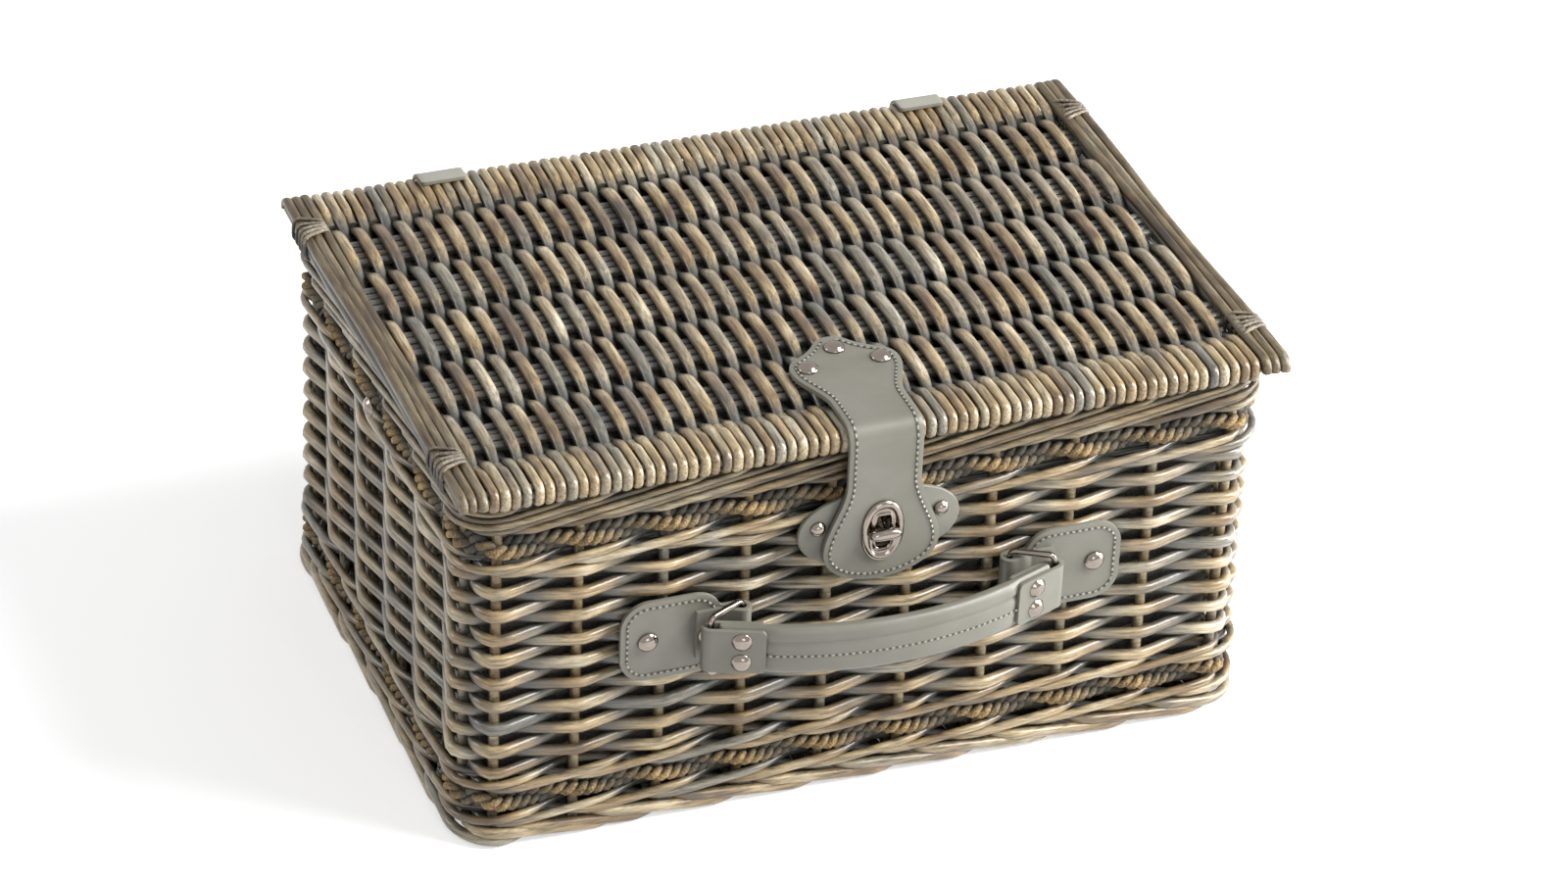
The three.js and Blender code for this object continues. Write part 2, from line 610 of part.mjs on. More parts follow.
// The strap on the lid: its section over the front edge, cut to its outline seen from above.
function strapOverFrontEdge() {
  const centreY = LID_FRONT + LID_EDGE_RADIUS;
  const inner = LID_EDGE_RADIUS + GAP;
  const outer = inner + LEATHER;
  const section = new THREE.Shape();
  section.moveTo(LID_FRONT + STRAP_LID_REACH, LID_MIDDLE + inner);
  section.lineTo(centreY, LID_MIDDLE + inner);
  section.absarc(centreY, LID_MIDDLE, inner, Math.PI / 2, Math.PI);
  section.lineTo(centreY - outer, LID_MIDDLE);
  section.absarc(centreY, LID_MIDDLE, outer, Math.PI, Math.PI / 2, true);
  section.lineTo(LID_FRONT + STRAP_LID_REACH, LID_MIDDLE + outer);
  const strip = solid(carryAlongX(section, 0, 2 * STRAP_LID_WIDTH));

  const neck = STRAP_NECK / 2;
  const foremost = centreY - outer - GAP;
  const lobe = STRAP_LOBE_RADIUS;
  const lobeX = STRAP_LID_WIDTH / 2 - lobe;
  const outline = new THREE.Shape();
  outline.moveTo(-neck, foremost);
  outline.lineTo(neck, foremost);
  outline.lineTo(neck, LID_FRONT + STRAP_LID_NECK);
  outline.bezierCurveTo(
    neck, LID_FRONT + STRAP_LID_NECK + lobe,
    lobeX + lobe, strapSideRivetY - 2 * lobe,
    lobeX + lobe, strapSideRivetY,
  );
  outline.absarc(lobeX, strapSideRivetY, lobe, 0, radians(70));
  outline.absarc(0, strapBackRivetY, lobe, radians(35), radians(145));
  outline.absarc(-lobeX, strapSideRivetY, lobe, radians(110), Math.PI);
  outline.bezierCurveTo(
    -lobeX - lobe, strapSideRivetY - 2 * lobe,
    -neck, LID_FRONT + STRAP_LID_NECK + lobe,
    -neck, LID_FRONT + STRAP_LID_NECK,
  );
  const prism = solid(raise(outline, LID_BOTTOM, LID_TOP - LID_BOTTOM + 2 * LEATHER));
  return surface(strip.intersect(prism));
}

const STRAP_FACE_Z = LID_TOP + GAP + LEATHER;
const strapBackRivetY = LID_FRONT + STRAP_LID_REACH - STRAP_LOBE_RADIUS;
const strapSideRivetY = strapBackRivetY - STRAP_RIVET_BACK;
add("latch_strap_lid", strapOverFrontEdge(), leather());
const strapRivets = [
  ["left", -STRAP_RIVET_SPREAD / 2, strapSideRivetY],
  ["back", 0, strapBackRivetY],
  ["right", STRAP_RIVET_SPREAD / 2, strapSideRivetY],
];
for (const [place, x, y] of strapRivets) {
  addRivet(`strap_rivet_${place}`, new THREE.Vector3(x, y, STRAP_FACE_Z), UP);
}

// The part of the strap that hangs in front of the wall, and lifts to open.
function flapShape() {
  const neck = STRAP_NECK / 2;
  const wide = STRAP_END_WIDTH / 2;
  const top = LID_MIDDLE - GAP - LATCH_Z;
  const shoulder = top - STRAP_NECK_DROP;
  const widest = -STRAP_WIDEST_DROP;
  const halfway = (shoulder + widest) / 2;
  const bottom = -STRAP_END_DROP;
  const corner = widest + 0.75 * (bottom - widest);
  const shape = new THREE.Shape();
  shape.moveTo(neck, top);
  shape.lineTo(-neck, top);
  shape.lineTo(-neck, shoulder);
  shape.bezierCurveTo(-neck, halfway, -wide, halfway, -wide, widest);
  shape.bezierCurveTo(-wide, corner, -0.6 * wide, bottom, 0, bottom);
  shape.bezierCurveTo(0.6 * wide, bottom, wide, corner, wide, widest);
  shape.bezierCurveTo(wide, halfway, neck, halfway, neck, shoulder);
  shape.closePath();
  const hole = new THREE.Path();
  const grow = 2 * SLOT_MARGIN;
  shape.holes.push(roundedRectangle(SLOT_WIDTH + grow, SLOT_HEIGHT + grow, SLOT_WIDTH / 4, hole));
  return shape;
}

const STRAP_BACK = LID_FRONT_OVERHANG + GAP;
const STRAP_FACE = STRAP_BACK + LEATHER;
const flap = standOut(flapShape(), frontAt(STRAP_BACK), LEATHER);
add("latch_strap_flap", flap, leather()).position.z = LATCH_Z;

const EYELET_FACE = STRAP_FACE + GAP + EYELET_THICKNESS;
const eyeletShape = new THREE.Shape();
eyeletShape.absellipse(0, 0, EYELET_WIDTH / 2, EYELET_HEIGHT / 2, 0, 2 * Math.PI);
eyeletShape.holes.push(roundedRectangle(SLOT_WIDTH, SLOT_HEIGHT, SLOT_WIDTH / 5, new THREE.Path()));
const eyelet = standOut(eyeletShape, frontAt(STRAP_FACE + GAP), EYELET_THICKNESS, EYELET_THICKNESS / 3);
add("eyelet_plate", eyelet, nickel()).position.z = LATCH_Z;

// The turn knob: a round stem through the slot and a bar that lies across it when locked.
const KNOB_BACK = EYELET_FACE + GAP;
const stemLength = KNOB_BACK - LOCK_BASE_FACE;
const stem = new THREE.CylinderGeometry(KNOB_STEM / 2, KNOB_STEM / 2, stemLength, RIVET_SIDES);
stem.translate(0, frontAt(LOCK_BASE_FACE + GAP + stemLength / 2), 0);
const barShape = roundedRectangle(KNOB_LENGTH, KNOB_WIDTH, KNOB_WIDTH / 2);
const bar = standOut(barShape, frontAt(KNOB_BACK), KNOB_DEPTH, KNOB_DEPTH / 4);
add("turn_knob", surface(solid(stem).add(solid(bar))), nickel()).position.z = LATCH_Z;

// Handle: two leather tabs on the wall, a wire ring in each, and a bowed grip between two leather end loops.
// The right half is drawn, and mirrored for the left.

const HANDLE_Z = RIM_TOP - HANDLE_DROP;
const LOOP_INSIDE = RING_WIRE / 2 + RING_BAR_CLEARANCE;
const LOOP_OUTSIDE = LOOP_INSIDE + LOOP_LEATHER;
const TAB_INNER_RIVET = TAB_LANDING + RIVET_DIAMETER / 2 + GAP; // from the bar
const tabBar = new THREE.Vector2(TAB_BAR_SPAN / 2, GAP + LOOP_OUTSIDE); // x, and distance out from the wall
const ringTurn = radians(RING_REST_ANGLE);
const handleBar = new THREE.Vector2(
  tabBar.x + RING_LENGTH * Math.cos(ringTurn),
  tabBar.y + RING_LENGTH * Math.sin(ringTurn),
);

// A row of points on a circle, for outlines.
function arcPoints(centre, radius, from, to, steps) {
  const points = [];
  for (let i = 0; i <= steps; i++) {
    const turn = from + ((to - from) * i) / steps;
    points.push(new THREE.Vector2(radius, 0).rotateAround(new THREE.Vector2(), turn).add(centre));
  }
  return points;
}

// An outline of places in x and out from the wall, raised to the handle's height.
function raiseHandlePiece(outline, holes = [], round = 0) {
  const place = (p) => new THREE.Vector2(p.x, frontAt(p.y));
  const shape = new THREE.Shape(outline.map(place));
  for (const hole of holes) shape.holes.push(new THREE.Path(hole.map(place)));
  return raise(shape, HANDLE_Z - HANDLE_HEIGHT / 2, HANDLE_HEIGHT, round);
}

function addMirrored(name, sign, geometry, finish) {
  add(name, geometry, finish).scale.x = sign;
}

// A tab: a stitched pad on the wall whose inner end folds round the ring's bar and back onto the pad.
function tabGeometry() {
  const pad = standOut(
    roundedRectangle(TAB_LENGTH - TAB_NECK, TAB_HEIGHT, TAB_CORNER),
    frontAt(GAP),
    LEATHER,
  );
  pad.translate(tabBar.x + (TAB_LENGTH + TAB_NECK) / 2, 0, HANDLE_Z);
  const end = tabBar.x + TAB_INNER_RIVET + TAB_LEAF_MARGIN;
  const leafFace = GAP + LEATHER + LOOP_LEATHER;
  const landing = new THREE.Vector2(tabBar.x + TAB_LANDING, leafFace);
  const parting = new THREE.Vector2(tabBar.x + TAB_LANDING - LOOP_LEATHER, GAP + LEATHER);
  const tangent = (point, radius, side) => {
    const reach = point.clone().sub(tabBar);
    return Math.atan2(reach.y, reach.x) + side * Math.acos(radius / reach.length());
  };
  const outline = [
    new THREE.Vector2(end, leafFace),
    new THREE.Vector2(end, GAP),
    ...arcPoints(tabBar, LOOP_OUTSIDE, 1.5 * Math.PI, tangent(landing, LOOP_OUTSIDE, 1), 12),
    landing,
  ];
  const from = tangent(parting, LOOP_INSIDE, -1) + 2 * Math.PI;
  const hole = [parting, ...arcPoints(tabBar, LOOP_INSIDE, from, tangent(parting, LOOP_INSIDE, 1), 10)];
  return surface(solid(pad).add(solid(raiseHandlePiece(outline, [hole]))));
}

// A ring: two upright bars joined by two arms that pass above and below the leather.
function ringGeometry() {
  const inside = HANDLE_HEIGHT + 2 * RING_ARM_CLEARANCE;
  const shape = roundedRectangle(RING_LENGTH + RING_WIRE, inside + 2 * RING_WIRE, 1.2 * RING_WIRE);
  const hole = roundedRectangle(RING_LENGTH - RING_WIRE, inside, RING_WIRE / 3, new THREE.Path());
  shape.holes.push(hole);
  const ring = raise(shape, -RING_WIRE / 2, RING_WIRE, 0.3 * RING_WIRE);
  ring.translate(RING_LENGTH / 2, 0, 0).rotateX(Math.PI / 2).rotateZ(-ringTurn);
  return ring.translate(tabBar.x, frontAt(tabBar.y), HANDLE_Z);
}

// The handle's middle line: straight in the end loop, then an arc that lies along the wall at the middle.
const endTurn = radians(HANDLE_END_ANGLE);
const bowRadius = (handleBar.x - LOOP_LENGTH * Math.cos(endTurn)) / Math.sin(endTurn);
const bowOut = handleBar.y + LOOP_LENGTH * Math.sin(endTurn) + bowRadius * (1 - Math.cos(endTurn));

// A place beside the straight end: along from the ring's bar to the middle, and across, away from the wall.
function besideEnd(along, across) {
  const turned = new THREE.Vector2(-along, across).rotateAround(new THREE.Vector2(), -endTurn);
  return turned.add(handleBar);
}

// A place beside the arc: across from its middle line, at a share of the way to the handle's middle.
function besideBow(share, across) {
  const turn = endTurn * (1 - share);
  const radius = bowRadius + across;
  const x = Math.max(radius * Math.sin(turn), GAP / 2);
  return new THREE.Vector2(x, bowOut - bowRadius + radius * Math.cos(turn));
}

function gripGeometry() {
  const half = GRIP_THICKNESS / 2;
  const endHalf = LOOP_INSIDE - GAP; // held between the leaves of the end loop
  const start = LOOP_INSIDE + GAP;
  const shoulder = GAP / (bowRadius * endTurn); // where the leaves of the end loop stop
  const shares = [shoulder];
  const steps = 8;
  for (let i = 1; i <= steps; i++) shares.push(i / steps);
  const outline = [
    besideEnd(start, endHalf),
    besideBow(shoulder, endHalf),
    ...shares.map((share) => besideBow(share, half)),
    ...shares.reverse().map((share) => besideBow(share, -half)),
    besideBow(shoulder, -endHalf),
    besideEnd(start, -endHalf),
  ];
  return raiseHandlePiece(outline, [], 1);
}

function endLoopGeometry() {
  const leaves = (across, reverse) => {
    const turnIn = Math.PI / 2 - endTurn;
    const bend = arcPoints(handleBar, across, turnIn, turnIn - Math.PI, 8);
    const line = [besideEnd(LOOP_LENGTH, across), ...bend, besideEnd(LOOP_LENGTH, -across)];
    return reverse ? line.reverse() : line;
  };
  return raiseHandlePiece([...leaves(LOOP_OUTSIDE, false), ...leaves(LOOP_INSIDE, true)]);
}

for (const [side, sign] of sides) {
  addMirrored(`handle_tab_${side}`, sign, tabGeometry(), leather());
  addMirrored(`handle_ring_${side}`, sign, ringGeometry(), nickel());
  addMirrored(`handle_loop_${side}`, sign, endLoopGeometry(), leather());
  addMirrored(`handle_grip_${side}`, sign, gripGeometry(), leather());
  const tabRivets = [
    ["outer", TAB_OUTER_RIVET, GAP + LEATHER],
    ["inner", TAB_INNER_RIVET, GAP + LEATHER + LOOP_LEATHER],
  ];
  for (const [place, reach, out] of tabRivets) {
    const head = new THREE.Vector3(sign * (tabBar.x + reach), frontAt(out), HANDLE_Z);
    addRivet(`tab_rivet_${side}_${place}`, head, FRONT);
  }
  const onLoop = besideEnd(LOOP_RIVET_REACH, LOOP_OUTSIDE);
  const facing = new THREE.Vector3(sign * Math.sin(endTurn), -Math.cos(endTurn), 0);
  for (const [place, rise] of [["upper", 0.5], ["lower", -0.5]]) {
    const z = HANDLE_Z + rise * LOOP_RIVET_SPACING;
    const head = new THREE.Vector3(sign * onLoop.x, frontAt(onLoop.y), z);
    addRivet(`loop_rivet_${side}_${place}`, head, facing);
  }
}

export default basket;
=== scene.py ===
import math
from collections import namedtuple

import bmesh
import bpy
import numpy as np
from mathutils import Matrix, Vector


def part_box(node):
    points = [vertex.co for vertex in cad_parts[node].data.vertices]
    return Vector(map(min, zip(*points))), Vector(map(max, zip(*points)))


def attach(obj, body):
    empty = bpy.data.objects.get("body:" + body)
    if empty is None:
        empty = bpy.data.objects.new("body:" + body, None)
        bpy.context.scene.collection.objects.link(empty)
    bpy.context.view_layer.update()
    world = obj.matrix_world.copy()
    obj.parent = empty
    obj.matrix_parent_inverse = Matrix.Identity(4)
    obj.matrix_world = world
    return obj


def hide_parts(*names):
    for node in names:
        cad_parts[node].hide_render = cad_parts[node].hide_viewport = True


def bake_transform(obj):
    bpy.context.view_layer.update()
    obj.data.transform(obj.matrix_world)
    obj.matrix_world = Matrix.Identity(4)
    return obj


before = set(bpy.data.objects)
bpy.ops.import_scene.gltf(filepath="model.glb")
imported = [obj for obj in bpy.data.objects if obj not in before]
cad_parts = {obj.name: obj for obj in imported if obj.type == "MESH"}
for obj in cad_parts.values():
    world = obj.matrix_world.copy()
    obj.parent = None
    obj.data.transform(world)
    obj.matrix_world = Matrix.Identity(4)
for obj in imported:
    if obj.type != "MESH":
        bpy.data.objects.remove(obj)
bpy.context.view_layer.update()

MM = 0.001
full_turn = 2 * math.pi
chance = np.random.default_rng(11)


def node_box(node):
    """A CAD node's lowest and highest corners, in millimetres."""
    low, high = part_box(node)
    return np.array(low) / MM, np.array(high) / MM


# Sizes that the CAD model gives, and below them the ones that it has as named values of its own
SIDE_LOW, SIDE_HIGH = node_box("side_weave")
HALF_WIDTH, HALF_DEPTH = SIDE_HIGH[:2]
LID_LOW, LID_HIGH = node_box("lid_panel")
LID_MIDDLE = (LID_LOW[2] + LID_HIGH[2]) / 2
LID_EDGE = (LID_HIGH[2] - LID_LOW[2]) / 2
LID_CENTRE = (LID_LOW[1] + LID_HIGH[1]) / 2
CORNER_RADIUS = 24
WALL = 13
HANDLE_Z = 110
LATCH_Z = 155

# Willow rods: how thick they are, how many, and how far they stand from the wall's middle line
STAKE_ROD = 5.2
STAKE_OUT = -1.7
WEAVE_ROWS = 18
WEAVE_ROD_DEEP = 5
WEAVE_ROD_HIGH = 6.1
WEAVE_SWING = 5.5
WALE_ROD = 4.1
WALE_SWING = 6.2
RIM_ROD = 3.1
FOOT_ROD = 5.4
INNER_ROD_OUT = -4.5
LID_RODS = 72
LID_ROD = 5.4
LID_ROD_THICK = 4.6
LID_STICKS = 5
LID_STICK = 4.6
LID_STICK_PITCH = 44.5
LID_END_ROD = 5.2
LID_END_ROD_THICK = 4.9
BASE_STICKS = 6
BASE_RODS = 66
BASE_ROD = 6.2
BASE_ROD_THICK = 5.2

# Seagrass rope: two plies, and the length of one twist. Split cane is a flat strand.
PLY = 3.9
PLY_OFFSET = 2
ROPE_LAY = 11
CANE_THICK = 1.7
CANE_WIDE = 2

# Leather
STRAP_LEATHER = 2.5
LOOP_LEATHER = 2.2
HINGE_LEATHER = 2
STAY_LEATHER = 2
TAB_LEATHER = 2.3
STITCH_INSET = 3.2
STITCH_PITCH = 3.3
STITCH_SHARE = 0.58
THREAD = 1.1
NEEDLE_HOLE = 1.15

# Points closer than this are one point
WELD = 0.001 * MM


def linear(colour):
    """A colour written as sRGB hex, as the linear values that a shader takes."""
    channels = [int(colour[i : i + 2], 16) / 255 for i in (1, 3, 5)]
    curved = [c / 12.92 if c <= 0.04045 else ((c + 0.055) / 1.055) ** 2.4 for c in channels]
    return (*curved, 1)


def add_node(tree, kind, inputs, output=0):
    """An output of a new node. Each input is a property of the node, a value, or a socket that feeds it."""
    made = tree.nodes.new("ShaderNode" + kind)
    for name, value in inputs.items():
        if isinstance(value, bpy.types.NodeSocket):
            tree.links.new(value, made.inputs[name])
        elif isinstance(name, str) and hasattr(made, name):
            setattr(made, name, value)
        else:
            made.inputs[name].default_value = value
    return made.outputs[output]


def set_surface(tree, shader, end="OutputMaterial"):
    """Makes a shader the surface of a material or a world."""
    made = tree.nodes.new("ShaderNode" + end)
    tree.links.new(shader, made.inputs["Surface"])


def new_material(name):
    material = bpy.data.materials.new(name)
    material.use_nodes = True
    material.node_tree.nodes.clear()
    return material, material.node_tree


def noise(tree, where, size, detail, roughness=0.5, seed=None):
    """Soft random patches of about a size, from 0 to 1. With a seed, each rod has its own."""
    inputs = {"noise_dimensions": "4D", "W": seed} if seed else {}
    inputs |= {"Vector": where, "Scale": 1 / size, "Detail": detail, "Roughness": roughness}
    return add_node(tree, "TexNoise", inputs, "Fac")


def ranged(tree, value, start, end, low=0, high=1):
    """A value from start to end, brought to the range from low to high."""
    inputs = {"Value": value, "From Min": start, "From Max": end, "To Min": low, "To Max": high}
    return add_node(tree, "MapRange", inputs)


# Places of a colour Mix node's inputs and output
MIX_A = 6
MIX_B = 7
MIX_OUT = 2


def mix(tree, share, first, second, blend="MIX"):
    """Two colours mixed by a share of the second. A colour is a socket, or is written as sRGB hex."""
    a, b = [linear(colour) if isinstance(colour, str) else colour for colour in (first, second)]
    inputs = {"data_type": "RGBA", "blend_type": blend, "Factor": share, MIX_A: a, MIX_B: b}
    return add_node(tree, "Mix", inputs, MIX_OUT)


def colour_ramp(tree, value, stops):
    """A colour for each value, blended between stops. A stop is a value and its colour."""
    colour = add_node(tree, "ValToRGB", {"Fac": value}, "Color")
    elements = colour.node.color_ramp.elements
    first, *between, last = stops
    for element, (position, tone) in zip(elements, (first, last)):
        element.position = position
        element.color = linear(tone)
    for position, tone in between:
        elements.new(position).color = linear(tone)
    return colour


def bumped(tree, height, strength, depth):
    """A surface's direction, tilted by a height that is drawn into it."""
    return add_node(tree, "Bump", {"Height": height, "Strength": strength, "Distance": depth * MM}, "Normal")


def stain_and_shade_recesses(tree, where, colour, recess):
    """A colour darkened near the middle of the weave: a grey stain together with painted shade where the rods
    dip in. recess is a mask, where the distance starts, the distance to the weave's middle, and how far from
    that middle the darkening starts to fade and ends."""
    mask, start, middle, stain_and_shade_from, stain_and_shade_to = recess
    masked = add_node(tree, "VectorMath", {"operation": "MULTIPLY", 0: where, 1: mask})
    mirrored = add_node(tree, "VectorMath", {"operation": "ABSOLUTE", 0: masked})
    inward = add_node(tree, "VectorMath", {"operation": "SUBTRACT", 0: mirrored, 1: start})
    outside = add_node(tree, "VectorMath", {"operation": "MAXIMUM", 0: inward, 1: (0, 0, 0)})
    reach = add_node(tree, "VectorMath", {"operation": "LENGTH", 0: outside}, "Value")
    off_middle = add_node(tree, "Math", {"operation": "SUBTRACT", 0: reach, 1: middle})
    depth = add_node(tree, "Math", {"operation": "ABSOLUTE", 0: off_middle})
    # painted shade with the stain: up to 86 % of the dark grey #3B3E3E near the weave's middle, fading
    # outwards
    stain_and_shade = ranged(tree, depth, stain_and_shade_from * MM, stain_and_shade_to * MM, 0.86, 0)
    return mix(tree, stain_and_shade, colour, "#3B3E3E")


def willow(name, grain, recess, grey_from=0.5, wash="#73756F", shade=1, varnish=0.4):
    """Peeled willow with a grey wash: tan and brown rods with fine lines along them, stretches weathered to a
    cold grey, a varnished shine on the humps, and a dark grey stain with painted shade where the rods dip
    into the weave.
    grain is how the lines stretch, grey_from is lower for rods that are mostly grey, shade darkens them all,
    and varnish is how much of the shine they have."""
    material, tree = new_material(name)
    where = add_node(tree, "TexCoord", {}, "Object")
    own = add_node(tree, "NewGeometry", {}, "Random Per Island")
    seed = add_node(tree, "Math", {"operation": "MULTIPLY", 0: own, 1: 40})

    # tones change every 40 mm or so along a rod, differently on each rod
    tone = noise(tree, where, 40 * MM, 2, 0.55, seed)
    tones = [(0.28, "#4A3B2A"), (0.39, "#7C6444"), (0.48, "#9E8761"), (0.6, "#B4A17E"), (0.74, "#CFC3AB")]
    peeled = colour_ramp(tree, tone, tones)

    # weathered stretches, about 130 mm long
    age = noise(tree, where, 130 * MM, 1, seed=seed)
    weathered = ranged(tree, age, grey_from, grey_from + 0.16, 0, 0.7)
    greyed = mix(tree, weathered, peeled, wash)

    # fine lines along the rod
    stretched = add_node(tree, "Mapping", {"Vector": where, "Scale": grain})
    lines = noise(tree, stretched, 1, 5, 0.68)
    line_shade = ranged(tree, lines, 0.36, 0.63, 0.34 * shade, 1.2 * shade)
    lined = mix(tree, 1, greyed, line_shade, "MULTIPLY")

    inputs = {
        "Base Color": stain_and_shade_recesses(tree, where, lined, recess),
        "Roughness": ranged(tree, lines, 0.3, 0.7, 0.42, 0.28),
        "Normal": bumped(tree, lines, 0.5, 0.4),
        "IOR": 1.5,
        "Coat Weight": varnish,
        "Coat Roughness": 0.2,
    }
    set_surface(tree, add_node(tree, "BsdfPrincipled", inputs))
    return material


def fibre(name, dark, middle, light, spacing, roughness, bump_depth, recess):
    """Twisted or split plant fibre: hair-fine lines of three tones, dull, with a rough surface, and painted
    shade where it dips into the weave.
    """
    material, tree = new_material(name)
    where = add_node(tree, "TexCoord", {}, "Object")
    patches = noise(tree, where, 14 * MM, 2)
    hairs = noise(tree, where, spacing * MM, 3, 0.65)
    both = add_node(tree, "Math", {"operation": "MULTIPLY_ADD", 0: patches, 1: 0.55, 2: hairs})
    colour = colour_ramp(tree, both, [(0.58, dark), (0.78, middle), (0.98, light)])
    inputs = {
        "Base Color": stain_and_shade_recesses(tree, where, colour, recess),
        "Roughness": roughness,
        "Normal": bumped(tree, hairs, 0.6, bump_depth),
        "IOR": 1.5,
    }
    set_surface(tree, add_node(tree, "BsdfPrincipled", inputs))
    return material


def leather(name, dark, light, pore, pore_depth, roughness):
    """Coated leather: one calm colour with faint clouds, small pores that only break the highlight, and a
    soft shine where the strap bends."""
    material, tree = new_material(name)
    where = add_node(tree, "TexCoord", {}, "Object")
    clouds = noise(tree, where, 22 * MM, 3)
    pores = add_node(tree, "TexVoronoi", {"Vector": where, "Scale": 1 / (pore * MM)}, "Distance")
    creases = noise(tree, where, 6 * MM, 4)
    height = add_node(tree, "Math", {"operation": "MULTIPLY_ADD", 0: pores, 1: 0.5, 2: creases})
    inputs = {
        "Base Color": mix(tree, ranged(tree, clouds, 0.3, 0.7), dark, light),
        "Roughness": ranged(tree, creases, 0.3, 0.7, roughness + 0.06, roughness - 0.05),
        "Normal": bumped(tree, height, 0.35, pore_depth),
        "IOR": 1.5,
    }
    set_surface(tree, add_node(tree, "BsdfPrincipled", inputs))
    return material


def nickel(name):
    """Nickel plate on stamped steel: bright, a little warm, nearly a mirror, with a faint haze from use."""
    material, tree = new_material(name)
    where = add_node(tree, "TexCoord", {}, "Object")
    haze = noise(tree, where, 3 * MM, 4)
    inputs = {
        "Base Color": mix(tree, haze, "#7D746C", "#958B82"),
        "Roughness": ranged(tree, haze, 0.3, 0.7, 0.08, 0.18),
        "Metallic": 1,
    }
    set_surface(tree, add_node(tree, "BsdfPrincipled", inputs))
    return material


def cotton(name, dark, light):
    """Plain woven cotton: a dull cloth with threads both ways. They are drawn 1.4 mm apart, coarser than
    real ones, so that they show."""
    material, tree = new_material(name)
    where = add_node(tree, "TexCoord", {}, "Object")
    turns = full_turn / (1.4 * MM)
    threads = add_node(tree, "VectorMath", {"operation": "MULTIPLY", 0: where, 1: (turns, turns, turns)})
    waves = add_node(tree, "VectorMath", {"operation": "SINE", 0: threads})
    weave = add_node(tree, "VectorMath", {"operation": "DOT_PRODUCT", 0: waves, 1: (1, 1, 1)}, "Value")
    slubs = noise(tree, where, 9 * MM, 3)
    share = ranged(tree, weave, -1.5, 1.5, 0.2, 0.8)
    both = add_node(tree, "Math", {"operation": "MULTIPLY", 0: share, 1: slubs})
    inputs = {
        "Base Color": mix(tree, both, dark, light),
        "Roughness": 0.85,
        "Normal": bumped(tree, weave, 0.4, 0.2),
        "IOR": 1.5,
    }
    set_surface(tree, add_node(tree, "BsdfPrincipled", inputs))
    return material


# Fine lines are about 1.2 mm apart on a rod and 15 mm long
LINE_ACROSS = 1 / (1.2 * MM)
LINE_ALONG = 1 / (15 * MM)
wall_grain = (LINE_ALONG, LINE_ALONG, LINE_ACROSS)
lid_grain = (LINE_ACROSS, LINE_ALONG, LINE_ACROSS)
stick_grain = (LINE_ALONG, LINE_ACROSS, LINE_ACROSS)

# Where the weave's middle is, for the stain and painted shade: round the wall, inside the lid, inside the
# base, and all over
LID_STAIN_AND_SHADE_FROM = 10
LID_STAIN_AND_SHADE_INSET = 32
corner_start = ((HALF_WIDTH - CORNER_RADIUS) * MM, (HALF_DEPTH - CORNER_RADIUS) * MM, 0)
weave_middle = (CORNER_RADIUS - WALL / 2 + STAKE_OUT) * MM
wall_recess = ((1, 1, 0), corner_start, weave_middle)
lid_start = (0, (LID_HIGH[1] - LID_STAIN_AND_SHADE_INSET) * MM, (LID_MIDDLE - LID_STAIN_AND_SHADE_FROM) * MM)
lid_recess = ((0, 1, 1), lid_start, LID_STAIN_AND_SHADE_FROM * MM)
base_recess = ((0, 0, 1), (0, 0, -10 * MM), 15 * MM)
whole_rod = ((0, 0, 0), (0, 0, 0), 0)

# Materials. The last two numbers of a recess say where its stain and painted shade start to fade and where
# they end.
wall_willow = willow("washed_willow_wall", wall_grain, (*wall_recess, 1, 6))
wale_willow = willow("washed_willow_waling", wall_grain, (*wall_recess, 2, 7), shade=0.86)
# the rim's wider darkening range and low shade are partly painted shadow from the lid's edge above it, and
# partly its browner colour
rim_recess = (*wall_recess, 3.6, 8)
rim_willow = willow("washed_willow_rim", wall_grain, rim_recess, 0.66, shade=0.62, varnish=0.1)
stake_willow = willow("washed_willow_stakes", stick_grain, (*wall_recess, -1, 3.5))
lid_willow = willow("washed_willow_lid", lid_grain, (*lid_recess, 2, 6), shade=0.95)
end_recess = (*lid_recess, 1, 4.6)
end_willow = willow("washed_willow_lid_ends", lid_grain, end_recess, 0.8, shade=0.4, varnish=0)
stick_willow = willow("washed_willow_sticks", stick_grain, (*lid_recess, -1, 3.6), 0.25, "#626A70")
# painted shade: the sticks inside the lid's wrapped edges are dark all over, so the gaps between the wraps
# read dark
hidden_willow = willow("shade_painted_willow_edge_sticks", stick_grain, (*whole_rod, 1, 2))
base_willow = willow("washed_willow_base", lid_grain, (*base_recess, 0.5, 4.5))
# the rope and the cane are darkened with painted shade where they dip into the weave
seagrass = fibre("seagrass_cord", "#3A2E1C", "#846B42", "#B5986A", 1.1, 0.75, 0.5, (*wall_recess, 3, 8))
cane = fibre("split_cane", "#3E382F", "#6A6153", "#988E7C", 1.3, 0.5, 0.25, (*lid_recess, 1, 5))
# painted light: the hinge straps use the strap's leather drawn lighter, as if lit from above
top_lit_hinge_leather = leather("coated_leather_painted_lighter", "#8A887E", "#949288", 0.9, 0.12, 0.42)
strap_leather = leather("coated_leather", "#6A685D", "#727067", 0.9, 0.12, 0.42)
cut_leather = leather("cut_leather_edge", "#6B695F", "#7B796E", 0.6, 0.2, 0.6)
thread = leather("waxed_thread", "#939186", "#A19F94", 0.5, 0.1, 0.5)
painted_hole_shadow = leather("needle_hole_shadow", "#3C3B33", "#46453C", 0.5, 0.1, 0.7)
plate = nickel("nickel_plate")
# the lining's dark grey stands partly for the shade inside the basket, seen through the weave
lining_cotton = cotton("plain_woven_cotton", "#4C4B47", "#5E5D58")


# Making pieces

